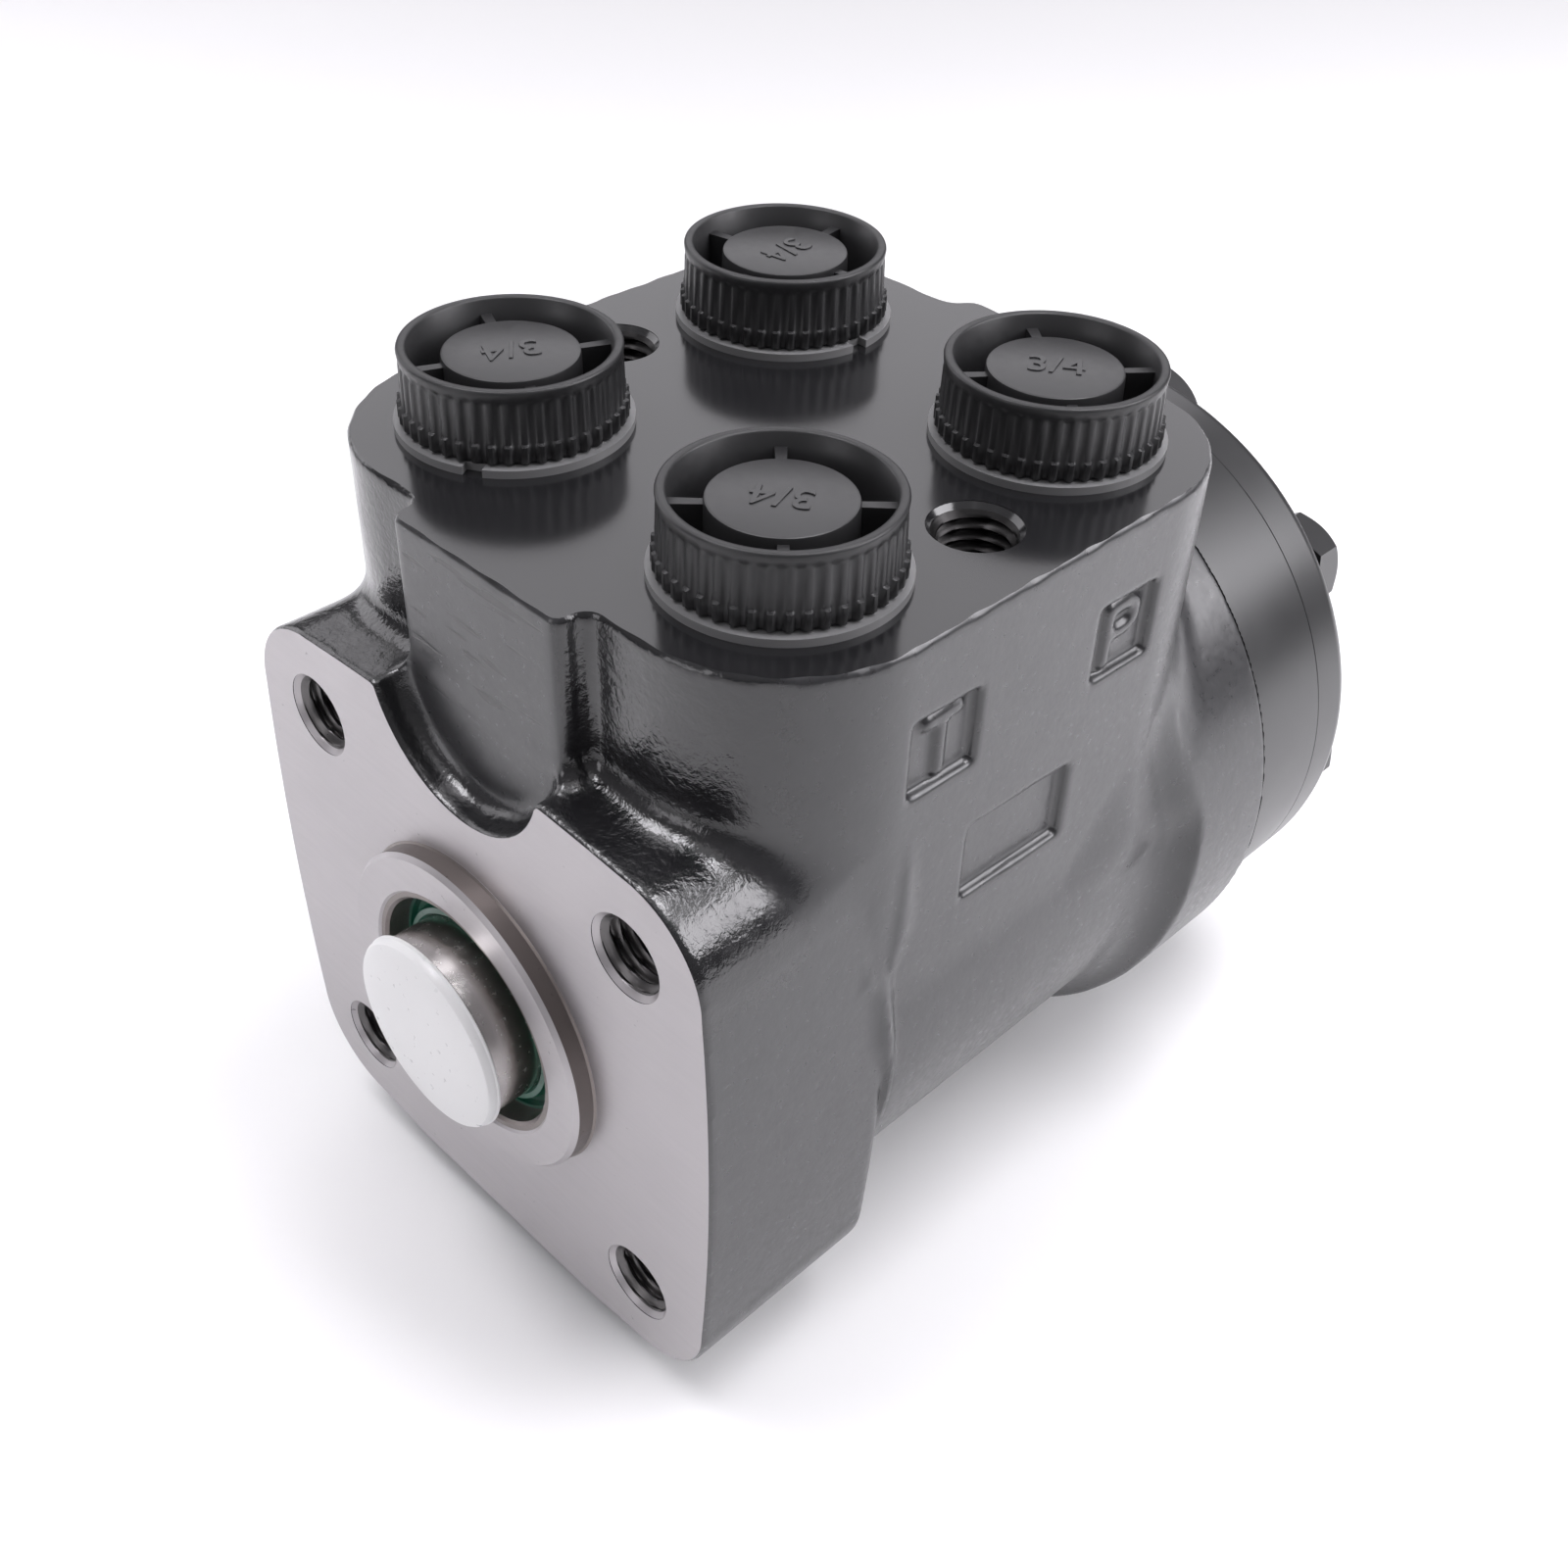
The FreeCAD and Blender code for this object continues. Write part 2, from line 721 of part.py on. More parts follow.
def distributor_plate():
    """The disc that leads oil from the valve to the gear chambers."""
    body = tube_y(stack_r, plate_centre_r, housing_length, plate_rear_y)
    cuts = bolt_circle(bolt_r + bolt_hole_gap, housing_length - 1, plate_rear_y + 1)
    for k in range(lobe_count):
        x, z = polar(chamber_hole_pitch_r, chamber_angle + k * lobe_step)
        cuts.append(cyl_y(chamber_hole_r, housing_length - 1, plate_rear_y + 1, x, z))
    cuts.append(seal_groove(housing_length, 1))
    return body.cut(cuts)


def gear_ring_wire():
    """The inner outline of the gear ring: round lobes joined by pockets."""
    fillet_place = pocket_r - pocket_corner_r
    reach = gear_lobe_r + pocket_corner_r
    turn = math.acos(
        (fillet_place ** 2 + lobe_pitch_r ** 2 - reach ** 2) / (2 * fillet_place * lobe_pitch_r))
    edges = []
    for k in range(lobe_count):
        middle = math.radians(first_lobe_angle + k * lobe_step)
        centre = V(lobe_pitch_r * math.cos(middle), 0, lobe_pitch_r * math.sin(middle))
        sides = []
        for side in (-1, 1):
            a = middle + side * turn
            outward = V(math.cos(a), 0, math.sin(a))
            corner = outward * fillet_place
            to_lobe = (centre - corner).normalize()
            on_lobe = centre - to_lobe * gear_lobe_r
            on_pocket = outward * pocket_r
            bend = (to_lobe + outward).normalize()
            between = corner + bend * pocket_corner_r
            sides.append((on_pocket, between, on_lobe))
        tip = centre.normalize() * (lobe_pitch_r - gear_lobe_r)
        edges.append(arc(sides[0][0], sides[0][1], sides[0][2]))
        edges.append(arc(sides[0][2], tip, sides[1][2]))
        edges.append(arc(sides[1][2], sides[1][1], sides[1][0]))
        half_way = middle + math.radians(lobe_step / 2)
        pocket = V(pocket_r * math.cos(half_way), 0, pocket_r * math.sin(half_way))
        after = middle + math.radians(lobe_step) - turn
        start_next = V(pocket_r * math.cos(after), 0, pocket_r * math.sin(after))
        edges.append(arc(sides[1][0], pocket, start_next))
    return Part.Wire(Part.__sortEdges__(edges))


def gear_ring():
    """The fixed outer gear with seven inward lobes."""
    space = Part.Face(gear_ring_wire()).extrude(V(0, gear_width + 2, 0))
    space.translate(V(0, plate_rear_y - 1, 0))
    body = cyl_y(stack_r, plate_rear_y, gear_rear_y).cut(space)
    cuts = bolt_circle(bolt_r + bolt_hole_gap, plate_rear_y - 1, gear_rear_y + 1)
    cuts.append(seal_groove(plate_rear_y, 1))
    cuts.append(seal_groove(gear_rear_y, -1))
    return body.cut(cuts)


def rotor_point(t):
    """A point of the rotor outline about its own centre, in mesh with the ring's lobes."""
    n = lobe_count
    x = lobe_pitch_r * math.cos(t) - orbit_offset * math.cos(n * t)
    z = lobe_pitch_r * math.sin(t) - orbit_offset * math.sin(n * t)
    dx = -lobe_pitch_r * math.sin(t) + n * orbit_offset * math.sin(n * t)
    dz = lobe_pitch_r * math.cos(t) - n * orbit_offset * math.cos(n * t)
    length = math.hypot(dx, dz)
    inset = gear_lobe_r + gear_flank_gap
    return x - inset * dz / length, z + inset * dx / length


def gear_rotor():
    """The orbiting inner gear with six lobes and a splined bore."""
    steps = 2 * rotor_arcs_per_lobe * rotor_lobes
    rest_turn = math.radians(first_lobe_angle - 180.0 / rotor_lobes)
    points = []
    for k in range(steps):
        x, z = rotor_point(2 * math.pi * k / steps)
        c = math.cos(rest_turn)
        s = math.sin(rest_turn)
        points.append(V(x * c - z * s, 0, x * s + z * c))
    points.append(points[0])
    edges = [arc(*points[k:k + 3]) for k in range(0, steps, 2)]
    face = Part.Face(Part.Wire(edges))
    width = gear_width - 2 * end_gap
    body = face.extrude(V(0, width, 0))
    bore = cyl_y(gear_spline_minor_r, -1, width + 1)
    teeth = spline_ring(
        drive_teeth, gear_spline_minor_r - 0.2, gear_spline_major_r, 0.5, -1, width + 1)
    body = body.cut([bore, teeth])
    body.translate(V(0, plate_rear_y + end_gap, rotor_centre_z))
    return body


def drive_spacer():
    """The round pad between drive shaft and end cover, inside the rotor."""
    y1 = gear_rear_y - end_gap
    spacer = cyl_y(spacer_r, y1 - spacer_thickness, y1, 0, rotor_centre_z)
    return spacer


def drive_shaft():
    """The tilted shaft: a fork on the cross pin and a crowned spline in the rotor."""
    spacer_front_y = gear_rear_y - end_gap - spacer_thickness
    head_y1 = spacer_front_y - spacer_gap
    head_middle_y = head_y1 - drive_head_length / 2
    reach = head_middle_y - pin_y
    length = math.hypot(reach, orbit_offset)
    tilt = math.degrees(math.atan2(orbit_offset, reach))
    head0 = length - drive_head_length / 2
    head1 = length + drive_head_length / 2
    fork = cyl_y(fork_r, -fork_reach, fork_back)
    shaft = turned([
        (0, fork_back),
        (fork_r, fork_back),
        (drive_r, fork_back + fork_r - drive_r),
        (drive_r, head0 - 3),
        (drive_root_r, head0),
        (drive_root_r, head1),
        (0, head1),
    ])
    share = 0.5 - spline_side_gap * drive_teeth / (2 * math.pi * drive_tip_r)
    teeth = spline_ring(drive_teeth, drive_root_r - 0.2, drive_tip_r, share, head0, head1)
    crown_r = drive_tip_r - drive_head_crown
    crown = turned([
        (0, head0),
        (crown_r, head0),
        (drive_tip_r, length - drive_head_length / 6),
        (drive_tip_r, length + drive_head_length / 6),
        (crown_r, head1),
        (0, head1),
    ])
    half_slot = pin_r + fork_slot_gap
    slot_end = pin_r + fork_slot_extra
    slot = block(-FAR, FAR, -fork_reach - 1, slot_end, -half_slot, half_slot)
    body = fused([fork, shaft, teeth.common(crown)]).cut(slot)
    body.rotate(ORIGIN, V(1, 0, 0), -tilt)
    body.translate(V(0, pin_y, 0))
    return body


def end_cover():
    """The plain round cover behind the gear set."""
    r = stack_r
    edge = cover_edge_chamfer
    body = turned([
        (0, gear_rear_y),
        (r, gear_rear_y),
        (r, cover_rear_y - edge),
        (r - edge, cover_rear_y),
        (0, cover_rear_y),
    ])
    return body.cut(bolt_circle(bolt_r + bolt_hole_gap, gear_rear_y - 1, cover_rear_y + 1))


def bolt_at(k, nose):
    """One hex bolt through the gear set, with a chamfered head."""
    x, z = polar(bolt_pitch_r, first_lobe_angle + k * lobe_step)
    seat_y = cover_rear_y + washer_thickness
    tip_y = seat_y - bolt_length
    corner = bolt_across_flats / 2 / math.cos(math.pi / 6)
    points = []
    for i in range(6):
        a = math.radians(60.0 * i + first_lobe_angle + k * lobe_step)
        points.append(V(x + corner * math.cos(a), seat_y, z + corner * math.sin(a)))
    head = Part.Face(Part.makePolygon(points + points[:1])).extrude(V(0, bolt_head_height, 0))
    slope = corner - bolt_across_flats / 2
    cone = Part.makeCone(
        corner + bolt_head_height,
        bolt_across_flats / 2,
        bolt_head_height + slope,
        V(x, seat_y - slope, z),
        AXIS_Y,
    )
    shank = cyl_y(bolt_r, tip_y, seat_y, x, z)
    pieces = [head.common(cone), shank]
    if nose > 0:
        pieces.append(cyl_y(pin_bolt_nose_r, tip_y - nose, tip_y, x, z))
    return fused(pieces)


def washers():
    """One soft washer under each cover bolt."""
    rings = []
    y1 = cover_rear_y + washer_thickness
    for k in range(lobe_count):
        x, z = polar(bolt_pitch_r, first_lobe_angle + k * lobe_step)
        outer = cyl_y(washer_r, cover_rear_y, y1, x, z)
        rings.append(outer.cut(cyl_y(bolt_r + seat_gap, cover_rear_y - 1, y1 + 1, x, z)))
    return Part.Compound(rings)


def check_valve():
    """The ball on its seat and the bushing that keeps it in."""
    x, z = check_place()
    y1 = bushing_front_y + bushing_length
    bushing = cyl_y(bushing_r, bushing_front_y, y1, x, z)
    bushing = bushing.cut(cyl_y(bushing_bore_r, bushing_front_y - 1, y1 + 1, x, z))
    ball = Part.makeSphere(check_ball_r, V(x, check_ball_y, z))
    return bushing, ball


def port_plug(x, y):
    """A moulded plug: ribbed cup with a centre disc on four spokes, and a hollow shank."""
    rim = Part.makeCone(
        plug_head_r, plug_head_r - plug_head_taper, plug_top_z - plug_floor_z,
        V(x, y, plug_floor_z), AXIS_Z)
    pocket = cyl_z(plug_rim_r, plug_floor_z + plug_floor, plug_top_z + 1, x, y)
    cup = rim.cut(pocket)
    post_top_z = plug_top_z - plug_post_drop
    post = cyl_z(plug_post_r, plug_floor_z, post_top_z, x, y)
    spoke_top_z = post_top_z - plug_spoke_drop
    half = plug_spoke_width / 2
    reach = plug_rim_r + 0.5
    spokes = [
        block(x - reach, x + reach, y - half, y + half, plug_floor_z, spoke_top_z),
        block(x - half, x + half, y - reach, y + reach, plug_floor_z, spoke_top_z),
    ]
    shank_r = port_tap_r - plug_shank_gap
    shank_z = deck_z - plug_shank_length
    shank = cyl_z(shank_r, shank_z, plug_floor_z, x, y)
    hollow = cyl_z(plug_post_r - plug_wall, shank_z - 1, post_top_z - plug_wall, x, y)
    return fused([cup, post, shank] + spokes).cut(hollow)


def plug_gasket(x, y, notch_angle):
    """The flat ring between plug and deck, with a notch in its outer edge."""
    ring = cyl_z(gasket_r, deck_z, plug_floor_z, x, y)
    half = gasket_notch_width / 2
    notch = block(
        x + gasket_r - gasket_notch_depth, x + gasket_r + 1, y - half, y + half, deck_z - 1, plug_floor_z + 1)
    notch.rotate(V(x, y, 0), AXIS_Z, notch_angle)
    return ring.cut([notch, cyl_z(port_tap_r, deck_z - 1, plug_floor_z + 1, x, y)])


def shaft_cap():
    """The push-in cap over the splined end of the spool."""
    y1 = spool_front_y
    y0 = y1 - cap_thickness
    shank_r = socket_minor_r - cap_shank_gap
    shank_end_y = y1 + cap_shank_length
    profile = [
        (0, y0 - cap_dome),
        (cap_r * 0.6, y0 - cap_dome * 0.7),
        (cap_r, y0 + cap_thickness * 0.25),
        (cap_r, y1),
        (shank_r, y1),
        (shank_r, shank_end_y),
        (shank_r - cap_wall, shank_end_y),
        (shank_r - cap_wall, y1),
        (0, y1),
    ]
    return turned(profile)


def build():
    """Makes every node and writes its file."""
    save("housing", housing())
    save("dust_seal", dust_seal())
    save("shaft_seal", shaft_seal())
    outer_race, cage, needles, inner_race = bearing()
    save("bearing_outer_race", outer_race)
    save("needle_cage", cage)
    save("bearing_needles", needles)
    save("bearing_inner_race", inner_race)
    save("control_sleeve", sleeve())
    save("control_spool", spool())
    save("cross_pin", cross_pin())
    save("spring_ring", spring_ring())
    flat_springs, bowed_springs = springs()
    save("flat_springs", flat_springs)
    save("bowed_springs", bowed_springs)
    save("drive_shaft", drive_shaft())
    save("drive_spacer", drive_spacer())
    save("distributor_plate", distributor_plate())
    save("gear_ring", gear_ring())
    save("gear_rotor", gear_rotor())
    save("end_cover", end_cover())
    save("housing_seal_ring", seal_ring(housing_length, 1))
    save("plate_seal_ring", seal_ring(plate_rear_y, 1))
    save("cover_seal_ring", seal_ring(gear_rear_y, -1))
    plain_bolts = [bolt_at(k, 0) for k in range(lobe_count - 1)]
    save("cover_bolts", Part.Compound(plain_bolts))
    save("pin_bolt", bolt_at(lobe_count - 1, pin_bolt_nose_length))
    save("bolt_washers", washers())
    bushing, ball = check_valve()
    save("check_bushing", bushing)
    save("check_ball", ball)
    places = {
        "left": (-port_x, front_port_y, -58.0),
        "right": (-port_x, rear_port_y, -1.0),
        "tank": (port_x, front_port_y, 110.0),
        "pump": (port_x, rear_port_y, 80.0),
    }
    for name, (x, y, notch_angle) in places.items():
        save("plug_" + name, port_plug(x, y))
        save("gasket_" + name, plug_gasket(x, y, notch_angle))
    save("shaft_cap", shaft_cap())


build()
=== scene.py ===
import json
import math

import bmesh
import bpy
import numpy as np
from mathutils import Matrix, Vector


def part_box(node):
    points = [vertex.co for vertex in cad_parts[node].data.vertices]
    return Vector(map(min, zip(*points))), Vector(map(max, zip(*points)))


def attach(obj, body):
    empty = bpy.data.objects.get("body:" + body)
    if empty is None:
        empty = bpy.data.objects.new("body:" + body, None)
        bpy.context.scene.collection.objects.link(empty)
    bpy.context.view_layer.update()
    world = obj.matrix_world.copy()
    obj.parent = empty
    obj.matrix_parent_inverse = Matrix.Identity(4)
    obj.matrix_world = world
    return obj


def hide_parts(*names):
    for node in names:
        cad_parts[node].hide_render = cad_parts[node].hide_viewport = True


# Orbital steering unit. Shapes are written in millimetres in the part's frame and scaled to metres.
MM = 0.001
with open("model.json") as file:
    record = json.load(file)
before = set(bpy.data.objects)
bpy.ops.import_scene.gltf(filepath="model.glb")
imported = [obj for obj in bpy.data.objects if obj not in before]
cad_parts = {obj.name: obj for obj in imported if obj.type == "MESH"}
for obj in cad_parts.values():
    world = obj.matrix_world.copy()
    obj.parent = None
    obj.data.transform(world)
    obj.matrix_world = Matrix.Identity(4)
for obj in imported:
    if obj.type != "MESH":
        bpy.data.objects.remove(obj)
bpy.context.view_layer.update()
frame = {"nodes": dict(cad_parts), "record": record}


def box_mm(node):
    """Lowest and highest corner of a CAD node, in millimetres."""
    low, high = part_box(node)
    return np.array(low) / MM, np.array(high) / MM


# Places read from the CAD pieces
PORTS = {name: (box_mm("plug_" + name)[0] + box_mm("plug_" + name)[1])[:2] / 2
         for name in ("left", "right", "tank", "pump")}
PORT_X, FRONT_PORT_Y = PORTS["tank"]
REAR_PORT_Y = PORTS["pump"][1]
MID_PORT_Y = (FRONT_PORT_Y + REAR_PORT_Y) / 2
DECK_Z = box_mm("gasket_tank")[0][2]
PLUG_FLOOR_Z = box_mm("gasket_tank")[1][2]
PLUG_TOP_Z = box_mm("plug_tank")[1][2]
PLUG_FOOT_Z = box_mm("plug_tank")[0][2]
SPOOL_FRONT_Y = box_mm("control_spool")[0][1]
BODY_END_Y = box_mm("distributor_plate")[0][1]
COVER_FRONT_Y = box_mm("end_cover")[0][1]
COVER_REAR_Y = box_mm("end_cover")[1][1]
STACK_R = box_mm("end_cover")[1][2]

# Cast housing
FLANGE_HALF_X = 41.6
FLANGE_HALF_Z = 41.0
FLANGE_CORNER_R = 12.5
FLANGE_BULGE = 1.2
FLANGE_BULGE_REACH = 30.0
FLANGE_FOOT_HALF = 18.0
FLANGE_DEPTH = 30.0
FLANGE_REAR_R = 2.2
SCOOP_R = 15.3
SCOOP_Z = 46.0
SCOOP_FLOOR_R = 2.5
LOBE_R = 19.8
SIDE_X = PORT_X + LOBE_R
NOSE_HALF_X = 14.5
NOSE_Y = 4.4
TAIL_HALF_X = 9.0
TAIL_Y = 96.2
ARM_HALF_LENGTH = 20.0
ARM_CORNER_R = 2.0
BLOCK_FOOT_Z = 8.0
BLOCK_FOOT_CURVE = 0.04
BODY_R = 43.5
BODY_FRONT_Y = 29.3
REAR_STEP = 4.2
FLARE_Y = 77.5
FLARE_LENGTH = 10.0
FLARE_LEAN = 0.06
FLARE_ADVANCE = 4.0
EDGE_R = 0.35
SPIGOT_R = 22.5
SPIGOT_Y = -3.0
MOUTH_R = 16.0
NECK_R = 12.68

# The box and the spacing of the grid on which the housing's skin is worked out
FIELD_LOW = (-51.0, -3.0, -51.0)
FIELD_HIGH = (51.0, 109.0, 65.4)
FINE_GRID = 0.55

# Steps of the main bore, as radius, front and rear
BORE_STEPS = ((MOUTH_R, -9, 2.4), (12.9, -9, 5), (17.1, 4.2, 10.5), (19.3, 10.4, 120))

# Fillets between the block, the body and the flange
THIN_FILLET = 0.01
BODY_FILLET = 6.0
REAR_FILLET = 5.5
FLANGE_FILLET = 0.5
SHOULDER_FILLET = 3.5

# Cast pads in the side walls, with the port letters in them
PAD_DEPTH = 1.3
PAD_LENGTH = 11.2
PAD_HEIGHT = 10.6
PAD_Z = 47.4
FRONT_PAD_Y = 34.6
REAR_PAD_Y = 66.6
PAD_SLANT = 0.04
PAD_DRAFT = 0.25
PAD_CORNER_R = 0.8
NUMBER_PAD = (50.2, 26.0, 19.0, 11.4)
LETTER_WIDTH = 5.0
LETTER_HEIGHT = 7.2
LETTER_HALF_STROKE = 0.9
LETTER_DROP = 0.4
BOWL = [((0, 0), (0, 1)), ((0, 1), (0.7, 1)), ((0.7, 1), (1, 0.86)), ((1, 0.86), (1, 0.62)),
        ((1, 0.62), (0.7, 0.48)), ((0.7, 0.48), (0, 0.48))]
LETTERS = (
    ("T", 1, FRONT_PAD_Y, [((0, 1), (1, 1)), ((0.5, 0), (0.5, 1))]),
    ("P", 1, REAR_PAD_Y, BOWL),
    ("L", -1, FRONT_PAD_Y, [((0, 1), (0, 0)), ((0, 0), (1, 0))]),
    ("R", -1, REAR_PAD_Y, BOWL + [((0.55, 0.48), (1, 0))]),
)

# Threads, as core radius, outer radius, pitch and mouth radius
BOLT_THREAD = (4.25, 5.05, 1.5, 5.7)
PORT_THREAD = (8.75, 9.5, 1.588, 9.78)
THREAD_SIDES = 48
ROWS_PER_TURN = 8
THREAD_FLAT = 0.12
MOUTH_SLOPE = 0.9
DRILL_TIP = 2.0

# Threaded holes: their places and depths, and how the cast skin laps and clears their liners
COLUMN_HALF = 29.15
COLUMN_DEPTH = 18.0
DECK_HOLE_X = 30.5
DECK_HOLE_DEPTH = 16.0
PORT_DEPTH = 17.0
LINER_LAP = 0.08
LINER_GAP = 0.5
LINER_LIFT = 0.01


class Nodes:
    """Short ways to add and link shader nodes."""

    def __init__(self, name):
        self.mat = bpy.data.materials.new(name)
        self.mat.use_nodes = True
        self.tree = self.mat.node_tree
        self.bsdf = self.tree.nodes["Principled BSDF"]
        self.coord = self.add("ShaderNodeTexCoord")

    def add(self, kind, **values):
        """A node with its options and constant inputs set."""
        node = self.tree.nodes.new(kind)
        for key, value in values.items():
            if key in node.inputs.keys():
                node.inputs[key].default_value = value
            else:
                setattr(node, key, value)
        return node

    def link(self, a, b):
        self.tree.links.new(a, b)

    def noise(self, scale, detail=4.0, rough=0.5, stretch=None, twist=0.0):
        """Noise in object space, with features about 1/scale metres wide."""
        out = self.coord.outputs["Object"]
        if stretch:
            mapping = self.add("ShaderNodeMapping", Scale=stretch)
            self.link(out, mapping.inputs["Vector"])
            out = mapping.outputs["Vector"]
        node = self.add("ShaderNodeTexNoise", Scale=scale, Detail=detail, Roughness=rough, Distortion=twist)
        self.link(out, node.inputs["Vector"])
        return node.outputs["Fac"]

    def axis(self, name):
        """One coordinate of the point, in metres."""
        split = self.add("ShaderNodeSeparateXYZ")
        self.link(self.coord.outputs["Object"], split.inputs["Vector"])
        return split.outputs[name]

    def ramp(self, value, a, b, low=0.0, high=1.0):
        """Maps a value from a..b to low..high, clamped."""
        node = self.add("ShaderNodeMapRange")
        self.link(value, node.inputs["Value"])
        for key, number in (("From Min", a), ("From Max", b), ("To Min", low), ("To Max", high)):
            node.inputs[key].default_value = number
        return node.outputs["Result"]

    def times(self, *values):
        """The product of several sockets."""
        total = values[0]
        for value in values[1:]:
            total = self.math("MULTIPLY", total, value)
        return total

    def math(self, operation, *values):
        """One arithmetic step on sockets."""
        node = self.add("ShaderNodeMath", operation=operation)
        for socket, value in zip(node.inputs, values):
            self.link(value, socket)
        return node.outputs["Value"]

    def plus(self, a, b):
        return self.math("ADD", a, b)

    def most(self, a, b):
        return self.math("MAXIMUM", a, b)

    def size(self, a):
        return self.math("ABSOLUTE", a)

    def blend(self, factor, a, b):
        """A number between a and b."""
        node = self.add("ShaderNodeMix", data_type="FLOAT")
        for socket, value in ((node.inputs[0], factor), (node.inputs[2], a), (node.inputs[3], b)):
            self.link(value, socket)
        return node.outputs[0]

    def mix(self, factor, a, b):
        """A colour between a and b."""
        node = self.add("ShaderNodeMix", data_type="RGBA")
        for socket, value in ((node.inputs[0], factor), (node.inputs[6], a), (node.inputs[7], b)):
            if isinstance(value, (int, float)):
                socket.default_value = value
            elif isinstance(value, (tuple, list)):
                socket.default_value = (*value[:3], 1.0)
            else:
                self.link(value, socket)
        return node.outputs[2]

    def bump(self, layers):
        """Bumps one on another: (height socket, distance in mm, strength)."""
        previous = None
        for height, distance, strength in layers:
            node = self.add("ShaderNodeBump", Distance=distance * MM, Strength=strength)
            self.link(height, node.inputs["Height"])
            if previous:
                self.link(previous, node.inputs["Normal"])
            previous = node.outputs["Normal"]
        self.link(previous, self.bsdf.inputs["Normal"])

    def set(self, **values):
        """Sets or links inputs of the surface shader."""
        for key, value in values.items():
            socket = self.bsdf.inputs[key.replace("_", " ")]
            if isinstance(value, (int, float)):
                socket.default_value = value
            elif isinstance(value, (tuple, list)):
                socket.default_value = (*value[:3], 1.0)
            else:
                self.link(value, socket)


PAINT_SHINE = 0.9


def cast_paint():
    """Dark satin paint over a rough casting, thick and glossy round the flange shoulder.

    Its masks, in metres: dashes on the nose face, the joint behind the flange, a painted shade
    of the gap at the rear edge over some dark paint in the seam, and the thick paint in front.
    """
    m = Nodes("cast_paint")
    grain = m.noise(900, 4, 0.6)
    lumps = m.noise(170, 3, 0.55)
    sag = m.noise(42, 2, 0.5)
    pits = m.ramp(m.noise(300, 2, 0.5), 0.73, 0.80)
    x, y, z = m.size(m.axis("X")), m.axis("Y"), m.axis("Z")
    nose = m.times(m.ramp(x, 0.0128, 0.0120), m.ramp(y, 0.0060, 0.0055), m.ramp(z, 0.040, 0.045))
    dashes = m.times(m.ramp(m.noise(800, 1, 0.5, (0.14, 1.0, 1.0)), 0.64, 0.70), nose)
    joint = m.times(m.ramp(y, 0.0289, 0.0295), m.ramp(y, 0.0301, 0.0295), m.ramp(m.size(z), 0.017, 0.013))
    rear = BODY_END_Y * MM
    # Seam mask: a thin band just in front of the housing's rear edge. It is painted near black and without
    # shine as the shade of the gap to the plate, over some dark paint in the joint.
    seam = m.times(m.ramp(y, rear - 0.00070, rear - 0.00055), m.ramp(y, rear - 0.00008, rear - 0.00018))
    edge = m.plus(y, m.ramp(lumps, 0.3, 0.7, -0.0015, 0.0015))
    beside_nose = m.ramp(x, 0.0138, 0.0144)
    lip = m.ramp(y, 0.0042, 0.0036)
    thick = m.times(m.ramp(edge, 0.0175, 0.0105), m.ramp(z, 0.025, 0.033), m.most(beside_nose, lip))
    wrinkles = m.times(m.noise(1100, 3, 0.6, twist=0.3), thick)
    colour = m.mix(m.ramp(lumps, 0.3, 0.7), (0.016, 0.016, 0.018), (0.021, 0.021, 0.023))
    colour = m.mix(thick, colour, (0.009, 0.009, 0.010))
    colour = m.mix(dashes, colour, (0.003, 0.003, 0.003))
    satin = m.ramp(grain, 0.3, 0.7, 0.26, 0.36)
    # Along the seam the base colour goes near black and the shine goes to zero: painted shade of the gap,
    # partly dark paint.
    m.set(
        Base_Color=m.mix(seam, colour, (0.004, 0.004, 0.004)),
        Roughness=m.blend(thick, satin, m.ramp(lumps, 0.35, 0.65, 0.10, 0.24)),
        Specular_IOR_Level=m.ramp(seam, 0.0, 1.0, PAINT_SHINE, 0.0),
    )
    m.bump([(sag, 0.7, 0.25), (lumps, 0.10, 0.5), (grain, 0.03, 0.6), (m.plus(pits, dashes), -0.10, 0.3),
            (joint, 0.15, 0.8), (wrinkles, 0.14, 0.7)])
    return m.mat


def smooth_paint(name, low, high):
    """The same paint on machined faces, with its roughness between two values."""
    m = Nodes(name)
    grain = m.noise(1100, 4, 0.6)
    cloud = m.noise(60, 2, 0.5)
    m.set(
        Base_Color=m.mix(m.ramp(cloud, 0.3, 0.7), (0.010, 0.010, 0.011), (0.013, 0.013, 0.014)),
        Roughness=m.ramp(cloud, 0.3, 0.7, low, high),
        Specular_IOR_Level=PAINT_SHINE,
    )
    m.bump([(cloud, 0.12, 0.15), (grain, 0.008, 0.4)])
    return m.mat


def machined_iron(name, colour, rough):
    """Bare machined iron: faint tool marks and dark pores."""
    m = Nodes(name)
    tool = m.noise(1200, 3, 0.6, (0.08, 1.0, 1.0))
    pores = m.ramp(m.noise(800, 2, 0.5), 0.72, 0.80)
    cloud = m.noise(35, 3, 0.5)
    base = m.mix(m.ramp(cloud, 0.3, 0.7), tuple(c * 0.94 for c in colour), colour)
    m.set(
        Base_Color=m.mix(pores, base, tuple(c * 0.4 for c in colour)),
        Metallic=0.75,
        Roughness=m.ramp(tool, 0.3, 0.7, rough * 0.9, rough * 1.1),
    )
    m.bump([(tool, 0.004, 0.3), (pores, -0.03, 0.4)])
    return m.mat


def steel(name, colour, rough):
    """Bare steel with fine marks in its colour and shine."""
    m = Nodes(name)
    marks = m.noise(900, 4, 0.6)
    m.set(
        Base_Color=m.mix(m.ramp(marks, 0.3, 0.7), tuple(c * 0.9 for c in colour), colour),
        Metallic=1.0,
        Roughness=m.ramp(marks, 0.3, 0.7, rough * 0.8, rough * 1.2),
    )
    return m.mat


